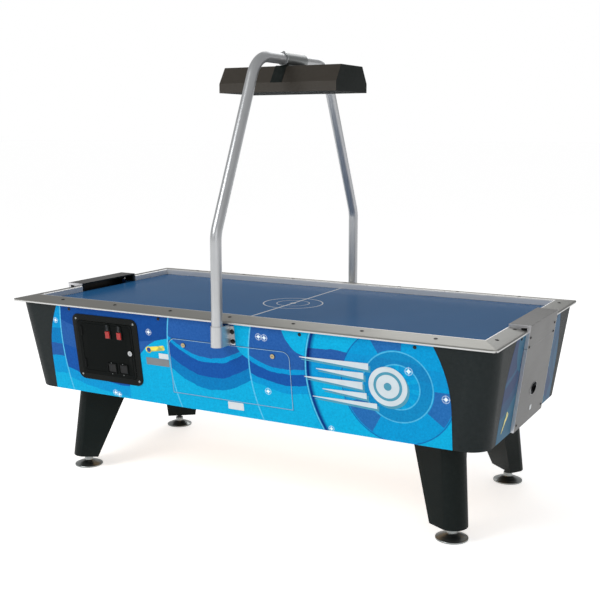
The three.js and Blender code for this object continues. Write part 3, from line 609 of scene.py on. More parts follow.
@dataclass(frozen=True)
class PrintedLaminate:
    """The blue printed face: wave bands, bright seams, rings and star glints under a clear film."""

    name: str
    ends: bool = False
    seams: tuple[tuple[float, float], ...] = ((-0.986, 0.45), (-0.332, 0.65), (0.113, 0.75), (0.402, 1.0))
    seam_level: float = 0.18
    shaded_from: float = 0.2
    panels: tuple[Panel, ...] = (
        Panel(-1.03, 0.0, ((0.0, CYAN), (0.125, OCEAN), (0.2, ROYAL), (0.27, CYAN), (0.36, AQUA))),
        Panel(-0.56, 0.35, ((0.0, DEEP), (0.14, ROYAL), (0.26, PURPLE), (0.385, CYAN), (0.44, AQUA)),
              (-0.28, 0.42, 0.31)),
        Panel(-0.10, 1.7, ((0.0, ROYAL), (0.18, CYAN), (0.203, PURPLE), (0.277, OCEAN), (0.338, AQUA)),
              (0.17, 0.05, 0.13)),
        Panel(0.31, 1.1, ((0.0, ROYAL), (0.186, CYAN), (0.21, PURPLE), (0.262, CYAN), (0.3, AQUA)),
              (0.44, -0.03, 0.15)),
        Panel(0.60, -0.25, ((0.0, AQUA), (0.07, ROYAL), (0.13, CYAN), (0.2, AQUA), (0.27, AQUA))),
    )
    ring_centre: tuple[float, float] = (0.833, 0.203)
    rings: tuple[float, ...] = (0.1, 0.158, 0.258)
    glints: tuple[tuple[float, float, float], ...] = (
        (-1.014, 0.084, 0.7), (-0.436, 0.089, 0.8), (0.174, 0.049, 0.8), (0.203, 0.051, 0.8),
        (0.202, 0.305, 0.8), (-0.685, 0.43, 0.75), (-0.662, 0.437, 0.7), (0.886, 0.126, 0.9),
        (1.045, 0.229, 0.9), (0.511, 0.44, 0.7))

    def make(self) -> bpy.types.Material:
        """Builds the material."""
        paint = Paint(self.name).set(Specular_IOR_Level=0.05)
        along, down = self.place(paint)
        ripple = paint.noise(9, 4)
        wavy = paint.math("MULTIPLY_ADD", ripple, 0.03, paint.minus(down, 0.015))
        level = paint.minus(down, self.seam_level)
        square = paint.product(level, level)
        picture = self.stack(paint, self.panels[0], along, wavy)
        for (at, curve), panel in zip(self.seams, self.panels[1:]):
            edge = paint.math("MULTIPLY_ADD", square, curve, at)
            past = paint.math("GREATER_THAN", along, edge)
            drawn = self.stack(paint, panel, along, wavy)
            if panel.patch:
                patch_along, patch_down, radius = panel.patch
                away = paint.length(paint.minus(along, patch_along), paint.minus(wavy, patch_down))
                drawn = paint.mix(paint.math("LESS_THAN", away, radius), drawn, AQUA)
            picture = paint.mix(past, picture, drawn)
            if at > self.shaded_from:
                shadow = paint.band(along, paint.math("ADD", edge, 0.012), 0.002, 0.02)
                picture = paint.mix(shadow, picture, DEEP, "MULTIPLY")
            picture = paint.mix(paint.band(along, edge, 0.0022, 0.002), picture, SEAM_LIGHT)
        picture = self.circles(paint, picture, along, down)
        for glint in self.glints:
            picture = self.glint(paint, picture, along, down, glint)
        mottled = paint.noise(110, 5, rough=0.7)
        shade = paint.mix(paint.ramp_between(mottled, 0.35, 0.7), (0.62, 0.78, 0.84), (1.15, 1.08, 1.05))
        picture = paint.mix(1.0, picture, shade, "MULTIPLY")
        # Painted shade: on the end faces the print is pushed towards purple and then darkened, the darkening
        # standing for the end faces getting less light than the front.
        if self.ends:
            picture = paint.mix(0.35, picture, PURPLE)
            picture = paint.mix(1.0, picture, (0.42, 0.36, 0.34), "MULTIPLY")
        paint.colour(picture)
        paint.roughness(mottled, 0.3, 0.42)
        return paint.bump(paint.noise(420, 3), 0.2, 0.00015).material

    def place(self, paint: Paint) -> tuple[Socket, Socket]:
        """Distances along the face and down its slope."""
        slope = END_SLOPE if self.ends else FRONT_SLOPE
        down = paint.product(paint.minus(CABINET_TOP, paint.z), 1 / math.cos(slope))
        facing = paint.math("SIGN", paint.x if self.ends else paint.y)
        across = paint.y if self.ends else paint.x
        way = 1.0 if self.ends else -1.0
        along = paint.product(across, paint.product(facing, way))
        return (paint.math("ADD", along, 0.36) if self.ends else along), down

    def stack(self, paint: Paint, panel: Panel, along: Socket, down: Socket) -> Socket:
        """The wave bands of one stretch, tops first."""
        away = paint.minus(along, panel.middle)
        level = paint.math("MULTIPLY_ADD", paint.product(away, away), panel.bend, down)
        scaled = paint.product(level, 2.0)
        return paint.steps(scaled, [(at * 2, colour) for at, colour in panel.bands])

    def circles(self, paint: Paint, picture: Socket, along: Socket, down: Socket) -> Socket:
        """Target rings with pale rims, and darker patches in the outer ring."""
        dx = paint.minus(along, self.ring_centre[0])
        dy = paint.minus(down, self.ring_centre[1])
        away = paint.length(dx, dy)
        angle = paint.math("ARCTAN2", dy, dx)
        inner, middle, outer = self.rings
        fills = paint.steps(away, [(0.0, CYAN), (inner, RING), (middle, CYAN), (outer, AQUA)])
        inside = paint.math("LESS_THAN", away, outer)
        picture = paint.mix(paint.product(inside, 0.9), picture, fills)
        wave = paint.math("SINE", paint.math("MULTIPLY_ADD", angle, 3.0, 0.6))
        spokes = paint.math("GREATER_THAN", wave, 0.55)
        ring = paint.band(away, (middle + outer) / 2, (outer - middle) / 2 - 0.006, 0.001)
        picture = paint.mix(paint.product(spokes, ring, 0.75), picture, LILAC)
        fans = paint.math("GREATER_THAN", paint.math("SINE", paint.product(angle, 11.0)), 0.35)
        core = paint.band(away, inner * 0.7, inner * 0.28, 0.002)
        picture = paint.mix(paint.product(fans, core, 0.5), picture, AQUA)
        for radius, colour in ((inner, SEAM_LIGHT), (middle, SEAM_LIGHT), (outer, PURPLE)):
            rim = paint.band(away, radius, 0.0016, 0.0022)
            picture = paint.mix(paint.product(rim, 0.75), picture, colour)
        return picture

    def glint(self, paint: Paint, picture: Socket, along: Socket, down: Socket,
              spec: tuple[float, float, float]) -> Socket:
        """A four-pointed star with a soft core and a faint halo ring."""
        at, level, size = spec
        dx = paint.math("ABSOLUTE", paint.minus(along, at))
        dy = paint.math("ABSOLUTE", paint.minus(down, level))
        away = paint.length(dx, dy)
        core = paint.ramp_between(away, 0.011 * size, 0.003 * size)
        rays = paint.ramp_between(paint.product(dx, dy), 0.00003 * size, 0.000004 * size)
        star = paint.product(rays, paint.ramp_between(away, 0.026 * size, 0.004 * size))
        halo = paint.product(paint.band(away, 0.018 * size, 0.0008, 0.0014), 0.45)
        light = paint.math("MINIMUM", paint.math("ADD", core, paint.math("ADD", star, halo)), 1.0)
        return paint.mix(light, picture, (0.93, 0.97, 1.0))


@dataclass(frozen=True)
class PlayingSurface:
    """Blue board with an air hole every 25 mm, a centre line and a face-off circle."""

    name: str
    tint: Colour = srgb(46, 100, 148)
    deep: Colour = srgb(38, 90, 138)
    spacing: float = 0.0254
    hole: float = 0.0008
    line: float = 0.0045
    circle: float = 0.15

    def make(self) -> bpy.types.Material:
        """Builds the material."""
        paint = Paint(self.name).set(Specular_IOR_Level=0.01)
        body = paint.mix(paint.noise(2.2, 3), self.tint, self.deep)
        body = paint.mix(paint.product(paint.noise(160, 3), 0.25), body, self.deep)
        away = paint.length(paint.x, paint.y)
        line = paint.band(paint.x, 0.0, self.line, 0.0006)
        ring = paint.band(away, self.circle, self.line * 0.6, 0.0006)
        inner_ring = paint.band(away, self.circle * 0.55, self.line * 0.4, 0.0006)
        dot = paint.ramp_between(away, 0.0146, 0.014)
        white = line
        for mark in (ring, inner_ring, dot):
            white = paint.math("MAXIMUM", white, mark)
        body = paint.mix(paint.product(white, 0.9), body, srgb(214, 218, 220))
        shifted = [paint.math("ADD", axis, 1000 * self.spacing) for axis in (paint.x, paint.y)]
        wrap = [paint.minus(paint.math("MODULO", axis, self.spacing), self.spacing / 2) for axis in shifted]
        hole = paint.ramp_between(paint.length(*wrap), self.hole * 1.15, self.hole * 0.85)
        paint.colour(paint.mix(hole, body, (0.012, 0.018, 0.025)))
        paint.roughness(paint.noise(6, 4), 0.16, 0.24)
        return paint.bump(paint.minus(1.0, hole), 0.5, 0.0004).material


@dataclass(frozen=True)
class RailMetal:
    """Extruded aluminium rail with drawn lines along it, and painted highlights along its inner crest and
    outer lower lip.
    """

    name: str
    tint: Colour
    along_x: bool
    inner: float
    low_edge: float = 0.9062
    highlight_tint: Colour = (0.8, 0.8, 0.8)

    def make(self) -> bpy.types.Material:
        """Builds the material."""
        paint = Paint(self.name).set(Metallic=1.0)
        lines = paint.noise(380, 4, (0.02, 1, 1) if self.along_x else (1, 0.02, 1), 0.7)
        cloud = paint.noise(5, 3)
        across = paint.math("ABSOLUTE", paint.y if self.along_x else paint.x)
        # Painted highlight: a bright line along the rail's inner crest and a fainter one along its outer
        # lower lip, for the light that catches these rounded edges.
        inner = paint.ramp_between(across, self.inner + 0.002, self.inner)
        lip = paint.ramp_between(paint.z, self.low_edge + 0.0008, self.low_edge)
        painted_highlight = paint.math("MAXIMUM", inner, paint.product(lip, 0.55))
        body = paint.mix(cloud, self.tint, tuple(c * 0.85 for c in self.tint))
        paint.colour(paint.mix(painted_highlight, body, self.highlight_tint))
        paint.roughness(lines, 0.4, 0.55)
        return paint.bump(lines, 0.35, 0.00004).material


@dataclass(frozen=True)
class EndSteel:
    """Brushed stainless goal plate with a crease pressed across it, and its folded sides painted lighter as a
    highlight.
    """

    name: str
    tint: Colour = (0.036, 0.035, 0.032)
    crease_level: float = 0.83
    crease: float = 0.0012
    fold: float = 0.2268
    highlight_tint: Colour = (0.62, 0.62, 0.64)

    def make(self) -> bpy.types.Material:
        """Builds the material."""
        paint = Paint(self.name).set(Metallic=0.92, Specular_IOR_Level=0.2)
        lines = paint.noise(300, 4, (1, 0.03, 1), 0.7)
        smears = paint.noise(3.5, 5)
        crease = paint.band(paint.z, self.crease_level, self.crease, 0.001)
        body = paint.mix(smears, self.tint, tuple(c * 0.72 for c in self.tint))
        # Painted highlight: beyond the fold, the sides of the plate and the cover edges are painted near
        # white for the light that catches them.
        lit_fold_mask = paint.math("GREATER_THAN", paint.math("ABSOLUTE", paint.y), self.fold)
        body = paint.mix(lit_fold_mask, body, self.highlight_tint)
        paint.colour(paint.mix(paint.product(crease, 0.6), body, (0.05, 0.05, 0.05)))
        paint.roughness(paint.math("MULTIPLY_ADD", lines, 0.5, paint.product(smears, 0.5)), 0.24, 0.42)
        return paint.bump(lines, 0.3, 0.00005).bump(crease, 0.6, 0.0006).material


@dataclass(frozen=True)
class Ribbon:
    """Yellow vinyl with darker streaks, on a small sticker."""

    name: str

    def make(self) -> bpy.types.Material:
        """Builds the material."""
        paint = Paint(self.name).set(Coat_Weight=0.3, Coat_Roughness=0.2)
        streak = paint.noise(60, 3, (0.3, 1, 1))
        share = paint.ramp_between(streak, 0.45, 0.6)
        paint.colour(paint.mix(share, srgb(236, 214, 60), srgb(150, 158, 70)))
        paint.roughness(streak, 0.3, 0.45)
        return paint.material


class Finishes:
    """Every finish of the table, made once and handed out by name."""

    def __init__(self) -> None:
        """Builds all materials."""
        specs = (
            PrintedLaminate("printed_front"),
            # The end faces' copy of the print carries painted shade.
            PrintedLaminate("printed_end_shaded", ends=True),
            PlayingSurface("playing_surface"),
            GrainLaminate("black_grain", (0.008, 0.0125, 0.013), (0.015, 0.021, 0.022)),
            GrainLaminate("leg_black", (0.003, 0.006, 0.0055), (0.006, 0.011, 0.01)),
            Coating("black_coat", (0.0025, 0.0035, 0.003), (0.03, 0.03, 0.03), 0.4, 0.5, shine=0.08),
            Coating("door_black", (0.002, 0.003, 0.0027), (0.02, 0.02, 0.02), 0.42, 0.55, shine=0.05),
            Coating("silver_paint", (0.42, 0.43, 0.44), (0.6, 0.6, 0.6), 0.26, 0.38, metallic=0.7),
            Coating("sleeve_grey", (0.21, 0.225, 0.225), (0.4, 0.4, 0.4), 0.3, 0.42, metallic=0.6),
            Coating("hood_paint", (0.026, 0.021, 0.015), (0.09, 0.085, 0.08), 0.4, 0.52),
            Coating("hood_end_paint", (0.003, 0.006, 0.005), (0.06, 0.06, 0.06), 0.4, 0.55, shine=0.06),
            Coating("dark_enamel", (0.03, 0.034, 0.038), (0.2, 0.2, 0.2)),
            Coating("grey_enamel", (0.09, 0.095, 0.1), (0.3, 0.3, 0.3)),
            RailMetal("rail_long", (0.34, 0.335, 0.31), True, 0.5465),
            RailMetal("rail_cross", (0.3, 0.3, 0.285), False, 1.1845),
            EndSteel("end_steel"),
            SheetMetal("galvanised", (0.4, 0.42, 0.44), 0.38, 0.6, (1, 1, 1), 60),
            SheetMetal("zinc", (0.34, 0.36, 0.355), 0.26, 0.42, (1, 1, 1), 120),
            SheetMetal("chrome", (0.42, 0.43, 0.44), 0.08, 0.18, (1, 1, 1), 200),
            SheetMetal("brass", (0.42, 0.34, 0.2), 0.16, 0.3, (1, 1, 1), 200),
            SheetMetal("cast_aluminium", (0.42, 0.43, 0.44), 0.4, 0.55, (1, 1, 1), 150),
            SheetMetal("black_screw", (0.012, 0.012, 0.013), 0.3, 0.45, (1, 1, 1), 250, metallic=0.5),
            Plywood("plywood", (0.46, 0.31, 0.17)),
            Plastic("red_lens", (0.42, 0.012, 0.01), 0.12, 0.22, see_through=0.15, glow=0.05, coat=0.3),
            Plastic("opal", (0.82, 0.87, 0.88), 0.35, 0.5, glow=0.2),
            Plastic("tube_glass", (0.9, 0.93, 0.94), 0.1, 0.2, glow=0.9),
            Plastic("white_vinyl", (0.66, 0.7, 0.72), 0.3, 0.45),
            Plastic("grey_vinyl", (0.2, 0.22, 0.23), 0.35, 0.5),
            Plastic("teal_vinyl", srgb(70, 150, 176), 0.3, 0.42),
            Plastic("motif_white", srgb(206, 218, 224), 0.3, 0.42),
            Plastic("pale_edging", srgb(150, 186, 212), 0.35, 0.5),
            Plastic("black_plastic", (0.005, 0.0055, 0.006), 0.4, 0.55),
            Plastic("blue_vinyl", srgb(30, 60, 140), 0.3, 0.42),
            Ribbon("yellow_ribbon"),
        )
        self.made = {spec.name: spec.make() for spec in specs}

    def dress(self, piece: Piece, finish: str) -> Piece:
        """Gives a piece one finish all over."""
        piece.data.materials.clear()
        piece.data.materials.append(self.made[finish])
        for face in piece.data.polygons:
            face.material_index = 0
        return piece


@dataclass
class Workshop:
    """What every builder needs: the loaded frame and the finishes."""

    frame: dict
    finishes: Finishes

    def fit(self, piece: Piece, body: str, slot: str, finish: str, *nodes: str) -> Piece:
        """Dresses a finished piece, hangs it on its body and hides the fixed nodes it stands for."""
        self.finishes.dress(piece, finish)
        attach(piece, body)
        if nodes:
            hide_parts(*nodes)
        LOG.info("%s rides on %s", piece.name, body)
        return piece

    def mount(self, piece: Piece, place: Matrix, body: str, slot: str, finish: str, *nodes: str,
              bevel: float = 0.0, segments: int = 2, angle: float = 35.0) -> None:
        """Moves a piece from the origin to its place, softens its edges and fits it."""
        piece.data.transform(place)
        self.fit(soften(piece, bevel, segments, angle), body, slot, finish, *nodes)

    def fasten(self, master: Piece, places: Iterable[Matrix], label: str, body: str, slot: str,
               finish: str) -> None:
        """Fits a copy of a fastener at each place."""
        for piece in copies(master, places, label):
            self.fit(piece, body, slot, finish)

    def refined(self, node: str, body: str, slot: str, finish: str, bevel: float = 0.0, segments: int = 2,
                angle: float = 35.0) -> Piece:
        """A finer piece from a fixed node: merged, its flat faces joined, its edges rounded.

        Args:
            node: the fixed node that it stands for.
            body: the body that it rides on.
            slot: the record's material slot, not used.
            finish: the finish's name.
            bevel: width of the edge rounding.
            segments: steps across the rounding.
            angle: edges sharper than this, in degrees, are rounded.
        Returns:
            The new piece.
        """
        source = self.frame["nodes"][node]
        piece = bpy.data.objects.new(f"{node}_finish", source.data.copy())
        bpy.context.scene.collection.objects.link(piece)
        edit(piece, lambda: bpy.ops.mesh.remove_doubles(threshold=1e-5),
             lambda: bpy.ops.mesh.dissolve_limited(angle_limit=math.radians(0.4)))
        soften(piece, bevel, segments, angle)
        return self.fit(piece, body, slot, finish, node)


# ---- fasteners ----


def screw(radius: float, height: float) -> Piece:
    """A pan-head screw with a round socket, standing on Z = 0."""
    head = turned("screw", ((radius, 0.0), (radius, height * 0.45), (radius * 0.9, height * 0.75),
                            (radius * 0.62, height), (radius * 0.42, height)), 24)
    edit(head,
         lambda: pick(head, "FACE", lambda f: f.normal.z > 0.9 and f.center.to_2d().length < radius * 0.1),
         lambda: extrude(0, 0, -height * 0.5))
    return soften(head, angle=40)


def bolt(radius: float = 0.0085, height: float = 0.006) -> Piece:
    """A hexagon bolt head on a washer, standing on Z = 0."""
    washer = turned("bolt", ((radius * 1.35, 0.0), (radius * 1.35, 0.0014), (radius * 1.1, 0.0014)), 28)
    head = turned("bolt_head", ((radius, 0.0012), (radius, height), (radius * 0.82, height * 1.18)), 6)
    soften(head, 0.0005, 2, 30)
    activate(washer)
    head.select_set(True)
    bpy.ops.object.join()
    return soften(washer)


# ---- sub-assemblies ----


@dataclass
class Cabinet:
    """Printed sides, black corners and the bottom board."""

    shop: Workshop
    edge: float = 0.0012
    screw_places: tuple[float, ...] = (-0.914, -0.37, 0.384, 0.917)
    screw_down: float = 0.017
    end_screw_places: tuple[float, ...] = (-0.29, 0.29)
    end_screw_down: float = 0.012

    def build(self) -> None:
        """Builds the shell and its screws."""
        for side in ("front", "rear"):
            self.shop.refined(f"{side}_panel", "root", "blue_laminate", "printed_front", self.edge)
        for side in ("left", "right"):
            # The end panels take the darker copy of the print, whose darkening is painted shade.
            self.shop.refined(f"{side}_end_panel", "root", "blue_laminate", "printed_end_shaded", self.edge)
        for place, _, _ in CORNERS:
            self.shop.refined(f"corner_{place}", "root", "black_laminate", "black_grain", self.edge, 2, 30)
        self.shop.refined("cabinet_floor", "root", "plywood", "plywood")
        places = [on_face(face, x, self.screw_down)
                  for face in (Face.FRONT, Face.REAR) for x in self.screw_places]
        places += [on_face(face, y, self.end_screw_down)
                   for face in (Face.RIGHT, Face.LEFT) for y in self.end_screw_places]
        self.shop.fasten(screw(0.008, 0.003), places, "panel_screw", "root", "black_steel", "black_screw")


@dataclass
class Artwork:
    """Vinyl pieces on the printed front: an abstract puck with speed streaks, and plain stickers."""

    shop: Workshop
    film: float = 0.0005
    lift: float = 0.0003
    puck_centre: tuple[float, float] = (0.79, 0.205)
    puck_radius: float = 0.088
    shadow_shift: tuple[float, float] = (0.009, 0.011)
    streaks: tuple[tuple[float, float, float, float], ...] = (
        (0.375, 0.715, 0.127, 0.03), (0.455, 0.69, 0.172, 0.03), (0.395, 0.685, 0.217, 0.034),
        (0.48, 0.7, 0.262, 0.028), (0.43, 0.745, 0.302, 0.024))
    ribbon_place: tuple[float, float] = (-0.408, 0.17)
    ribbon_turn: float = math.radians(10)
    boss_place: tuple[float, float] = (-0.445, 0.178)
    flash_place: tuple[float, float] = (-0.345, 0.37)
    flash_turn: float = math.radians(58)

    def build(self) -> None:
        """Builds the motif and the stickers."""
        for face in (Face.FRONT, Face.REAR):
            self.motif(face, "shadow", *self.shadow_shift, self.lift, "teal_vinyl")
            self.motif(face, "face", 0.0, 0.0, self.lift + self.film + 0.0001, "motif_white")
        self.sticker("service_label", (0.084, 0.036, 0.003), (0.022, 0.402), "white_vinyl")
        self.sticker("info_label", (0.133, 0.036, 0.002), (-0.4, 0.236), "grey_vinyl")
        self.sticker("info_tag", (0.055, 0.026, 0.002), (-0.362, 0.203), "white_vinyl")
        self.ribbon()
        self.end_flash()

    def stick(self, piece: Piece, place: Matrix, finish: str) -> None:
        """Puts a flat piece of vinyl on the cabinet."""
        self.shop.mount(piece, place, "root", "blue_laminate", finish)

    def streak(self, name: str, start: float, end: float, thick: float) -> Piece:
        """A bar about its own middle, drawn to a point at its left end and slanted at its right end."""
        length = end - start
        piece = plate(name, length, thick, self.film)
        tip = (-length / 2, thick * 0.3, 0)
        edit(piece, lambda: pick(piece, "FACE", lambda f: f.center.x < -length * 0.49),
             lambda: bpy.ops.transform.resize(value=(1, 0.12, 1), center_override=tip),
             lambda: pick(piece, "FACE", lambda f: f.center.x > length * 0.49),
             lambda: bpy.ops.transform.translate(value=(-thick * 0.35, 0, 0)))
        return piece

    def motif(self, face: Face, layer: str, right: float, down: float, out: float, finish: str) -> None:
        """One layer of the motif: a puck ring with its hub, and the streaks behind it."""
        at, level = self.puck_centre
        rings = ((1.0, finish), (0.74, "teal_vinyl"), (0.6, finish), (0.2, "teal_vinyl"))
        for number, (share, tone) in enumerate(rings if layer == "face" else rings[:1]):
            radius = self.puck_radius * share
            name = f"motif_puck_{layer}_{number}_{face.value}"
            disc = turned(name, ((radius, 0.0), (radius, self.film)), 72)
            self.stick(disc, on_face(face, at + right, level + down, out + number * self.film), tone)
        for number, (start, end, place, thick) in enumerate(self.streaks, 1):
            bar = self.streak(f"motif_streak_{number}_{layer}_{face.value}", start, end, thick)
            self.stick(bar, on_face(face, (start + end) / 2 + right, place + down, out), finish)

    def sticker(self, name: str, size: tuple[float, float, float], at: tuple[float, float],
                finish: str) -> None:
        """A plain label on the front, given by its width, height and corner radius."""
        width, height, corner = size
        self.stick(plate(name, width, height, self.film, corner), on_face(Face.FRONT, *at, self.lift), finish)

    def ribbon(self) -> None:
        """A slanted yellow ribbon with a round blue boss at its lower end."""
        bar = plate("ribbon_sticker", 0.112, 0.024, self.film, 0.008)
        self.stick(bar, on_face(Face.FRONT, *self.ribbon_place, self.lift, self.ribbon_turn), "yellow_ribbon")
        discs = (("ribbon_boss_rim", 0.0165, "yellow_ribbon"), ("ribbon_boss", 0.0115, "blue_vinyl"))
        for layer, (name, radius, finish) in enumerate(discs, 1):
            disc = turned(name, ((radius, 0.0), (radius, self.film)), 40)
            self.stick(disc, on_face(Face.FRONT, *self.boss_place, self.lift + layer * self.film), finish)

    def end_flash(self) -> None:
        """Slanted yellow flashes low on the printed strips beside the goal plates."""
        for face in (Face.RIGHT, Face.LEFT):
            flash = self.streak(f"end_flash_{face.value}", -0.055, 0.055, 0.03)
            self.stick(flash, on_face(face, *self.flash_place, self.lift, self.flash_turn), "yellow_ribbon")


@dataclass
class Playfield:
    """The playing board, the air chamber under it and the rails round it.

    A rail's top slopes down outwards from its crest, over a stretch given as shares of its width.
    """

    shop: Workshop
    crest: float = 0.922
    fall: float = 0.0104
    slope_start: float = 0.07
    slope_share: float = 0.83
    side_rail: tuple[float, float] = (0.537, 0.125)
    end_rail: tuple[float, float] = (1.178, 0.09)
    screw_pitch: float = 0.33
    screw_line: float = 0.592
    end_line: float = 1.216
    end_places: tuple[float, float] = (0.252, 0.5)
    sink: float = 0.0003

    def build(self) -> None:
        """Builds the surface and rails."""
        shop = self.shop
        shop.refined("playfield", "root", "playing_surface", "playing_surface", 0.0008)
        shop.refined("air_plenum", "root", "plywood", "plywood")
        for side in ("front", "rear"):
            shop.refined(f"{side}_rail", "root", "rail_aluminium", "rail_long", 0.0005, 2, 24)
        for end in ("left", "right"):
            for place in ("front", "rear"):
                shop.refined(f"end_rail_{end}_{place}", "root", "rail_aluminium", "rail_cross", 0.0005, 2, 24)
        places = [self.on_rail(n * self.screw_pitch, side * self.screw_line, "X", -side)
                  for side in (-1, 1) for n in range(-3, 4)]
        places += [self.on_rail(sx * self.end_line, sy * y, "Y", sx)
                   for sx in (-1, 1) for sy in (-1, 1) for y in self.end_places]
        shop.fasten(screw(0.0088, 0.0026), places, "rail_screw", "root", "rail_aluminium", "black_screw")

    def on_rail(self, x: float, y: float, axis: str, way: int) -> Matrix:
        """The place of a screw on a rail's sloping top.

        Args:
            x: its distance along the table.
            y: its distance across the table.
            axis: the axis along which the rail runs.
            way: the sign of the slope's turn about that axis.
        Returns:
            The matrix that takes a standing screw to its place.
        """
        away, (inner, width) = (abs(y), self.side_rail) if axis == "X" else (abs(x), self.end_rail)
        share = ((away - inner) / width - self.slope_start) / self.slope_share
        tilt = way * math.atan(self.fall / (self.slope_share * width))
        height = self.crest - self.fall * share - self.sink
        return Matrix.Translation((x, y, height)) @ Matrix.Rotation(tilt, 4, axis)


@dataclass
class GoalEnds:
    """Stainless goal plates with their return holes, and the puck chutes behind."""

    shop: Workshop
    hole_down: float = 0.293
    hole: tuple[float, float] = (0.05, 0.028)
    label_down: float = 0.385
    screw_places: tuple[tuple[float, float], ...] = (
        (-0.2, 0.02), (-0.2, 0.062), (0.2, 0.02), (0.2, 0.062), (-0.2, 0.42), (0.2, 0.42))
    cover_inner: float = 1.183
    cover_outer: float = 1.277
    cover_low: float = 0.9155

    def build(self) -> None:
        """Builds both ends."""
        for end, face in (("right", Face.RIGHT), ("left", Face.LEFT)):
            self.shop.refined(f"goal_plate_{end}", "root", "stainless", "end_steel", 0.0009, 2, 30)
            self.shop.refined(f"puck_chute_{end}", "root", "galvanised", "galvanised")
            self.hole_rim(end, face)
            self.cover_edges(end, 1 if face is Face.RIGHT else -1)
            label = plate(f"end_label_{end}", 0.03, 0.022, 0.0005, 0.002)
            self.shop.mount(label, on_face(face, 0.0, self.label_down, PLATE_STAND + 0.0003),
                            "root", "stainless", "white_vinyl")
            places = [on_face(face, y, down, PLATE_STAND) for y, down in self.screw_places]
            self.shop.fasten(screw(0.0058, 0.0026), places, f"goal_screw_{end}",
                             "root", "stainless", "black_screw")

    def cover_edges(self, end: str, side: int) -> None:
        """Folded edges that close the goal cover down to the rail at both sides; the steel finish paints them
        light as a highlight.
        """
        _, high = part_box(f"goal_plate_{end}")
        top = high.z - 0.001
        x_range = sorted((side * self.cover_inner, side * self.cover_outer))
        for place, way in (("front", -1), ("rear", 1)):
            y_range = sorted((way * (high.y - 0.002), way * (high.y + 0.0006)))
            low_corner, high_corner = zip(x_range, y_range, (self.cover_low, top))
            strip = block(f"cover_edge_{end}_{place}", low_corner, high_corner)
            edit(strip, lambda: pick(strip, "FACE", lambda f: f.center.x * side > 1.27),
                 lambda: bpy.ops.transform.resize(value=(1, 1, 0.5), center_override=(0, 0, top)))
            self.shop.fit(soften(strip, 0.0004), "root", "stainless", "end_steel")

    def hole_rim(self, end: str, face: Face) -> None:
        """A rolled steel lip round the return hole."""
        deselect()
        bpy.ops.mesh.primitive_torus_add(major_radius=1.0, minor_radius=0.03, major_segments=72,
                                         minor_segments=12)
        rim = bpy.context.object
        rim.name = f"return_hole_rim_{end}"
        wide, high = self.hole
        size = (wide + 0.001, high + 0.001, 0.05)
        edit(rim, lambda: bpy.ops.transform.resize(value=size, center_override=(0, 0, 0)))
        settle(rim, on_face(face, 0.0, self.hole_down, PLATE_STAND + 0.0004))
        self.shop.fit(soften(outward(rim)), "root", "stainless", "chrome")


@dataclass
class Legs:
    """Four tapered legs on levelling feet."""

    shop: Workshop
    x: float = 1.0175
    y: float = 0.412
    pad: tuple[tuple[float, float], ...] = (
        (0.0718, 0.0), (0.0725, 0.0008), (0.0725, 0.0058), (0.0715, 0.0072), (0.066, 0.0088), (0.062, 0.0112),
        (0.052, 0.0158), (0.041, 0.0198), (0.0305, 0.0232), (0.0235, 0.0262), (0.0222, 0.028), (0.022, 0.042),
        (0.021, 0.0452), (0.0188, 0.047), (0.0086, 0.047))
    nut: tuple[tuple[float, float], ...] = ((0.0128, 0.0492), (0.0128, 0.0568))
    pitch: float = 0.0025
    thread_from: float = 0.058
    thread_to: float = 0.146

    def build(self) -> None:
        """Builds each corner's leg, stud, pad and collar."""
        shop = self.shop
        for place, sx, sy in CORNERS:
            body = f"foot_{place}"
            shop.refined(f"leg_{place}", "root", "black_steel", "leg_black", 0.004, 4, 25)
            centre = Matrix.Translation((sx * self.x, sy * self.y, 0))
            for name, profile, sides in (("pad", self.pad, 72), ("stud", self.thread(), 32)):
                node = f"foot_{name}_{place}"
                piece = turned(f"{node}_turned", profile, sides)
                shop.mount(piece, centre, body, "zinc", "zinc", node, angle=28)
            nut = turned(f"foot_nut_{place}", self.nut, 6)
            shop.mount(nut, centre, body, "zinc", "black_screw", bevel=0.0008, angle=30)

    def thread(self) -> tuple[tuple[float, float], ...]:
        """The profile of a threaded stud, from its foot up."""
        rings = [(0.0076, 0.0475)]
        height = self.thread_from
        while height < self.thread_to:
            rings += [(0.008, height), (0.0071, height + self.pitch / 2)]
            height += self.pitch
        return tuple(rings + [(0.0066, 0.149)])


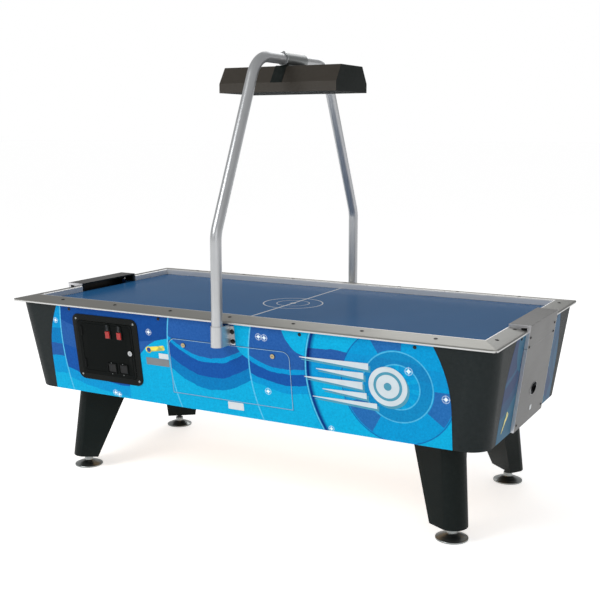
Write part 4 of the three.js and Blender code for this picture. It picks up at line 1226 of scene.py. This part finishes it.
@dataclass
class CoinDoor:
    """The black coin door with its frame, chutes, red buttons, flaps, lock and cash box."""

    shop: Workshop
    lanes: tuple[float, float] = (-0.681, -0.611)
    middle: tuple[float, float] = (-0.701, 0.205)
    button_down: float = 0.125
    slot_down: float = 0.09
    rivet_downs: tuple[float, float] = (0.2705, 0.3275)
    hinge_x: float = -0.845
    hinge_downs: tuple[float, float] = (0.12, 0.29)
    frame_x: float = -0.6995
    frame_screws: tuple[float, float] = (0.176, 0.146)
    knuckle: tuple[tuple[float, float], ...] = (
        (0.004, -0.022), (0.0045, -0.0215), (0.0045, 0.0215), (0.004, 0.022))

    def build(self) -> None:
        """Builds the door and what is on and behind it."""
        shop = self.shop
        shop.refined("coin_door_frame", "root", "black_steel", "black_coat", 0.0008, 3, 35)
        shop.refined("coin_door", "coin_door", "black_steel", "door_black", 0.0006, 2, 35)
        shop.refined("coin_mechanism", "coin_door", "mechanism", "grey_enamel", 0.001)
        shop.refined("cash_box", "root", "galvanised", "galvanised", 0.0006)
        shop.refined("coin_door_lock", "coin_door_lock", "chrome", "chrome", 0.0006, 3, 40)
        for side, x in zip(("left", "right"), self.lanes):
            button, flap = f"reject_button_{side}", f"return_flap_{side}"
            shop.refined(button, button, "red_lens", "red_lens", 0.0018, 4, 35)
            shop.refined(flap, flap, "black_steel", "black_plastic", 0.0004)
            bezel = frame_band(f"button_bezel_{side}", (0.034, 0.044), 0.0032, 0.0018, 0.004)
            shop.mount(bezel, on_face(Face.FRONT, x, self.button_down, 0.0071),
                       "coin_door", "black_steel", "black_plastic", bevel=0.0005)
            lip = frame_band(f"coin_slot_lip_{side}", (0.0095, 0.028), 0.0026, 0.0012, 0.002)
            shop.mount(lip, on_face(Face.FRONT, x, self.slot_down, 0.0081),
                       "coin_door", "black_steel", "dark_enamel", bevel=0.0003)
        self.pressing()
        self.fasteners()

    def pressing(self) -> None:
        """A pressed ridge running round the door, and its hinge knuckles."""
        ridge = frame_band("coin_door_ridge", (0.306, 0.25), 0.006, 0.0012, 0.012)
        self.shop.mount(ridge, on_face(Face.FRONT, *self.middle, 0.0046),
                        "coin_door", "black_steel", "door_black", bevel=0.0005, segments=3)
        for number, down in enumerate(self.hinge_downs, 1):
            knuckle = turned(f"coin_door_hinge_knuckle_{number}", self.knuckle, 24)
            place = on_face(Face.FRONT, self.hinge_x, down, 0.0052) @ Matrix.Rotation(math.pi / 2, 4, "X")
            self.shop.mount(knuckle, place, "coin_door", "black_steel", "door_black")

    def fasteners(self) -> None:
        """Corner screws of the frame and small rivets on the door."""
        across, up = self.frame_screws
        corners = [on_face(Face.FRONT, self.frame_x + sx * across, self.middle[1] + sy * up, 0.003)
                   for sx in (-1, 1) for sy in (-1, 1)]
        self.shop.fasten(screw(0.0055, 0.0022), corners, "coin_frame_screw", "root", "black_steel", "zinc")
        rivets = [on_face(Face.FRONT, x, down, 0.0081) for x in self.lanes for down in self.rivet_downs]
        self.shop.fasten(screw(0.0022, 0.0012), rivets, "flap_rivet", "coin_door", "black_steel", "zinc")


@dataclass
class ServiceDoor:
    """The printed drop-down door with its pale edging and two cam locks."""

    shop: Workshop
    half: float = 0.325
    top: float = 0.106
    bottom: float = 0.380
    corner: float = 0.036

    def build(self) -> None:
        """Builds the door, its edging and locks."""
        self.shop.refined("access_door", "access_door", "blue_laminate", "printed_front", 0.0008)
        for side in ("left", "right"):
            body = f"access_lock_{side}"
            self.shop.refined(body, body, "brass", "brass", 0.0006, 3, 40)
        edging = frame_band("access_door_edging", (2 * self.half, self.bottom - self.top), 0.0022, 0.0009,
                            self.corner, steps=10, top_only=True)
        self.shop.mount(edging, on_face(Face.FRONT, 0.0, (self.top + self.bottom) / 2, 0.0001),
                        "access_door", "blue_laminate", "pale_edging")


@dataclass
class AirSupply:
    """Blower, duct, power supply and mains inlet."""

    shop: Workshop

    def build(self) -> None:
        """Builds the inside machinery."""
        shop = self.shop
        shop.refined("blower_housing", "root", "galvanised", "galvanised", 0.0008, 2, 35)
        shop.refined("blower_impeller", "blower_rotor", "impeller", "cast_aluminium")
        shop.refined("blower_motor", "root", "dark_metal", "dark_enamel", 0.0015, 3, 35)
        shop.refined("air_duct", "root", "galvanised", "galvanised", 0.0006)
        shop.refined("power_supply", "root", "mechanism", "grey_enamel", 0.002, 3)
        shop.refined("power_inlet", "root", "black_steel", "black_plastic", 0.0008, 3)


@dataclass
class Arch:
    """The bent tube arch, its brackets and the sleeve that joins its halves."""

    shop: Workshop
    y: float = 0.697
    radius: float = 0.0254
    bottom: float = 0.8015
    bend_z: float = 1.301
    top_z: float = 2.088
    top_y: float = 0.340
    bend: float = 0.155
    sides: int = 48
    bolt_along: float = 0.0405
    bolt_downs: tuple[float, float] = (0.038, 0.084)
    flange: float = 0.0043
    knob: tuple[tuple[float, float], ...] = (
        (0.007, 0.0), (0.007, 0.003), (0.0055, 0.0045), (0.005, 0.0062), (0.003, 0.007))

    def build(self) -> None:
        """Builds both halves, the brackets, bolts and sleeve."""
        for place, side in (("front", -1), ("rear", 1)):
            self.tube(place, side)
            self.shop.refined(f"arch_bracket_{place}", "root", "silver_paint", "silver_paint", angle=32)
        places = [on_face(face, sx * self.bolt_along, down, self.flange) for face in (Face.FRONT, Face.REAR)
                  for sx in (-1, 1) for down in self.bolt_downs]
        self.shop.fasten(bolt(), places, "bracket_bolt", "root", "black_steel", "black_screw")
        self.sleeve()

    def tube(self, place: str, side: int) -> None:
        """Carries a filled circle up the post, round both bends and in to the middle."""
        lean = Vector((self.top_y - self.y, self.top_z - self.bend_z)).normalized()
        corners = ((self.y, self.bend_z, Vector((0, 1)), lean),
                   (self.top_y, self.top_z, lean, Vector((-1, 0))))
        deselect()
        bpy.ops.mesh.primitive_circle_add(vertices=self.sides, radius=self.radius, fill_type="NGON",
                                          location=(0, side * self.y, self.bottom))
        piece = bpy.context.object
        piece.name = f"arch_{place}_tube"
        settle(piece)
        activate(piece)
        bpy.ops.object.mode_set(mode="EDIT")
        bpy.ops.mesh.select_all(action="SELECT")
        here = Vector((self.y, self.bottom))
        for y, z, before, after in corners:
            angle = before.angle(after)
            reach = self.bend * math.tan(angle / 2)
            start = Vector((y, z)) - before * reach
            self.draw(start - here, side)
            centre = start + Vector((-before.y, before.x)) * self.bend
            bpy.ops.mesh.spin(steps=max(6, round(math.degrees(angle) / 4)), angle=-side * angle,
                              center=(0, side * centre.x, centre.y), axis=(1, 0, 0))
            here = Vector((y, z)) + after * reach
        self.draw(Vector((0.002, self.top_z)) - here, side)
        bpy.ops.object.mode_set(mode="OBJECT")
        edit(piece, lambda: bpy.ops.mesh.remove_doubles(threshold=1e-5))
        outward(piece)
        self.shop.fit(soften(piece, angle=40), "root", "silver_paint", "silver_paint", f"arch_{place}")

    def draw(self, step: Vector, side: int) -> None:
        """Draws the tube's open end out in a straight line."""
        extrude(0, side * step.x, step.y)

    def sleeve(self) -> None:
        """The coupling sleeve with rolled ends, on its hanger block, and a small stop knob."""
        shop = self.shop
        shop.refined("arch_sleeve", "root", "silver_paint", "sleeve_grey", 0.0012, 3, 30)
        low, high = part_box("arch_sleeve")
        outer = (high.x - low.x) / 2
        for number, y in enumerate((low.y, high.y), 1):
            deselect()
            bpy.ops.mesh.primitive_torus_add(
                major_radius=outer - 0.0012, minor_radius=0.0014, major_segments=64, minor_segments=10,
                location=(0, y, self.top_z), rotation=(math.pi / 2, 0, 0))
            lip = bpy.context.object
            lip.name = f"sleeve_lip_{number}"
            settle(lip)
            shop.fit(soften(lip), "root", "silver_paint", "chrome")
        place = Matrix.Translation((0, low.y + 0.012, self.top_z + outer - 0.001))
        shop.mount(turned("sleeve_knob", self.knob, 28), place, "root", "silver_paint", "chrome")


@dataclass
class Lamp:
    """The lamp hood with its dark straps, diffuser and two tubes; the straps partly stand in for the
    crossbar's shadow on the hood, as painted shade.
    """

    shop: Workshop
    shoulder: float = 1.975
    ridge_y: float = 0.1145
    shade_strap_half: float = 0.031
    shade_strap_thick: float = 0.0022
    cap_end: float = 0.018
    glass_end: float = 0.022
    cap: tuple[tuple[float, float], ...] = ((0.9, 0.0), (0.98, 0.001), (0.98, 0.017), (0.7, 0.018))

    def build(self) -> None:
        """Builds the hood and what it holds."""
        shop = self.shop
        hood = shop.refined("lamp_hood", "root", "hood_paint", "hood_paint", 0.0014, 3, 25)
        hood.data.materials.append(shop.finishes.made["hood_end_paint"])
        for face in hood.data.polygons:
            if abs(face.normal.x) > 0.7:
                face.material_index = 1
        shop.refined("lamp_diffuser", "root", "opal", "opal", 0.001)
        for place in ("front", "rear"):
            self.tube(place)
        self.shade_straps()

    def tube(self, place: str) -> None:
        """A fluorescent tube with metal end caps."""
        low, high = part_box(f"lamp_tube_{place}")
        radius = (high.z - low.z) / 2
        half = (high.x - low.x) / 2
        lay = Matrix.Translation((low + high) / 2) @ Matrix.Rotation(math.pi / 2, 4, "Y")
        neck, end = half - self.cap_end, half - self.glass_end
        glass = turned(f"lamp_tube_{place}_glass",
                       ((radius * 0.9, -neck), (radius, -end), (radius, end), (radius * 0.9, neck)), 32)
        self.shop.mount(glass, lay, "root", "opal", "tube_glass", f"lamp_tube_{place}")
        cap = turned("cap", [(radius * share, height) for share, height in self.cap], 32)
        places = [lay @ Matrix.Translation((0, 0, -half)),
                  lay @ Matrix.Translation((0, 0, half)) @ Matrix.Rotation(math.pi, 4, "X")]
        self.shop.fasten(soften(cap), places, f"lamp_cap_{place}", "root", "opal", "cast_aluminium")

    def shade_strap(self, name: str, length: float, place: Matrix) -> None:
        """One flat of the hanger strap: a dark sheet that partly stands in for the crossbar's shadow on the
        hood, as painted shade.
        """
        shade_strap = plate(f"hood_shade_strap_{name}", 2 * self.shade_strap_half, length, self.shade_strap_thick, 0.003)
        self.shop.mount(shade_strap, place, "root", "hood_paint", "hood_end_paint", bevel=0.0005)

    def shade_straps(self) -> None:
        """Dark hanger straps down both slopes of the hood from under the sleeve and over its ridge; on the
        front slope the dark sheet also stands in for the crossbar's shadow, as painted shade.
        """
        _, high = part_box("lamp_hood")
        slope = Vector((high.y - self.ridge_y, high.z - self.shoulder))
        for place, side in (("front", -1), ("rear", 1)):
            across = Vector((-side, 0, 0))
            up = Vector((0, -side * slope.x, slope.y)).normalized()
            basis = Matrix((across, up, across.cross(up))).transposed().to_4x4()
            middle = Vector((0, side * (high.y + self.ridge_y) / 2, (high.z + self.shoulder) / 2))
            self.shade_strap(place, slope.length, Matrix.Translation(middle) @ basis)
        self.shade_strap("top", 2 * self.ridge_y, Matrix.Translation((0, 0, high.z + 0.0002)))


# ---- studio ----


@dataclass
class Studio:
    """Camera, floor and soft light."""

    azimuth: float = math.radians(28.6436)
    elevation: float = math.radians(9.6731)
    place: tuple[float, float, float] = (2.36690, -4.26081, 1.73781)
    lens: float = 58.66
    floor_size: float = 400.0
    sky: float = 0.42

    def camera(self) -> None:
        """Sets the camera."""
        data = bpy.data.cameras.new("camera")
        data.sensor_width = 36.0
        data.lens = self.lens
        data.clip_end = 500.0
        camera = bpy.data.objects.new("camera", data)
        bpy.context.scene.collection.objects.link(camera)
        back = Vector((math.sin(self.azimuth) * math.cos(self.elevation),
                       -math.cos(self.azimuth) * math.cos(self.elevation), math.sin(self.elevation)))
        camera.location = self.place
        camera.rotation_euler = (-back).to_track_quat("-Z", "Y").to_euler()
        bpy.context.scene.camera = camera

    def floor(self) -> None:
        """Lays a plain pale floor."""
        deselect()
        bpy.ops.mesh.primitive_plane_add(size=self.floor_size, location=(0, 0, 0))
        floor = bpy.context.object
        floor.name = "studio_floor"
        paint = Paint("studio_floor")
        paint.colour(paint.mix(paint.noise(0.6, 2), (0.93, 0.93, 0.93), (0.95, 0.95, 0.95)))
        paint.set(Roughness=0.9, Specular_IOR_Level=0.1, Emission_Color=(1, 1, 1, 1), Emission_Strength=0.6)
        floor.data.materials.append(paint.material)

    def lights(self) -> None:
        """Hangs soft panels round the table and a sky that is white to the camera but dimmer as a light."""
        for name, place, size, power in (
                ("key", (-2.4, -5.0, 4.4), 2.4, 150.0), ("fill", (3.0, -4.5, 2.4), 2.6, 26.0),
                ("back", (-1.0, 4.5, 4.0), 3.0, 60.0)):
            data = bpy.data.lights.new(name, "AREA")
            data.shape = "SQUARE"
            data.size = size
            data.energy = power
            light = bpy.data.objects.new(name, data)
            light.location = place
            aim = Vector((0, 0, 0.8)) - Vector(place)
            light.rotation_euler = aim.to_track_quat("-Z", "Y").to_euler()
            bpy.context.scene.collection.objects.link(light)
        world = bpy.data.worlds.new("studio")
        world.use_nodes = True
        nodes, links = world.node_tree.nodes, world.node_tree.links
        output = next(n for n in nodes if n.type == "OUTPUT_WORLD")
        blend = nodes.new("ShaderNodeMixShader")
        for slot, strength in ((1, self.sky), (2, 1.0)):
            background = nodes.new("ShaderNodeBackground")
            background.inputs[0].default_value = (1.0, 1.0, 1.0, 1.0)
            background.inputs[1].default_value = strength
            links.new(background.outputs[0], blend.inputs[slot])
        links.new(nodes.new("ShaderNodeLightPath").outputs["Is Camera Ray"], blend.inputs[0])
        links.new(blend.outputs[0], output.inputs[0])
        bpy.context.scene.world = world
        bpy.context.scene.view_settings.view_transform = "Standard"


def main() -> None:
    """Builds the table and its studio."""
    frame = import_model()
    logging.basicConfig(level=logging.INFO, format="%(message)s")
    studio = Studio()
    studio.camera()
    studio.floor()
    studio.lights()
    shop = Workshop(frame, Finishes())
    for builder in (Cabinet, Artwork, Playfield, GoalEnds, Legs, CoinDoor, ServiceDoor, AirSupply, Arch,
                    Lamp):
        LOG.info("building %s", builder.__name__)
        builder(shop).build()
    deselect()


if __name__ == "__main__":
    main()
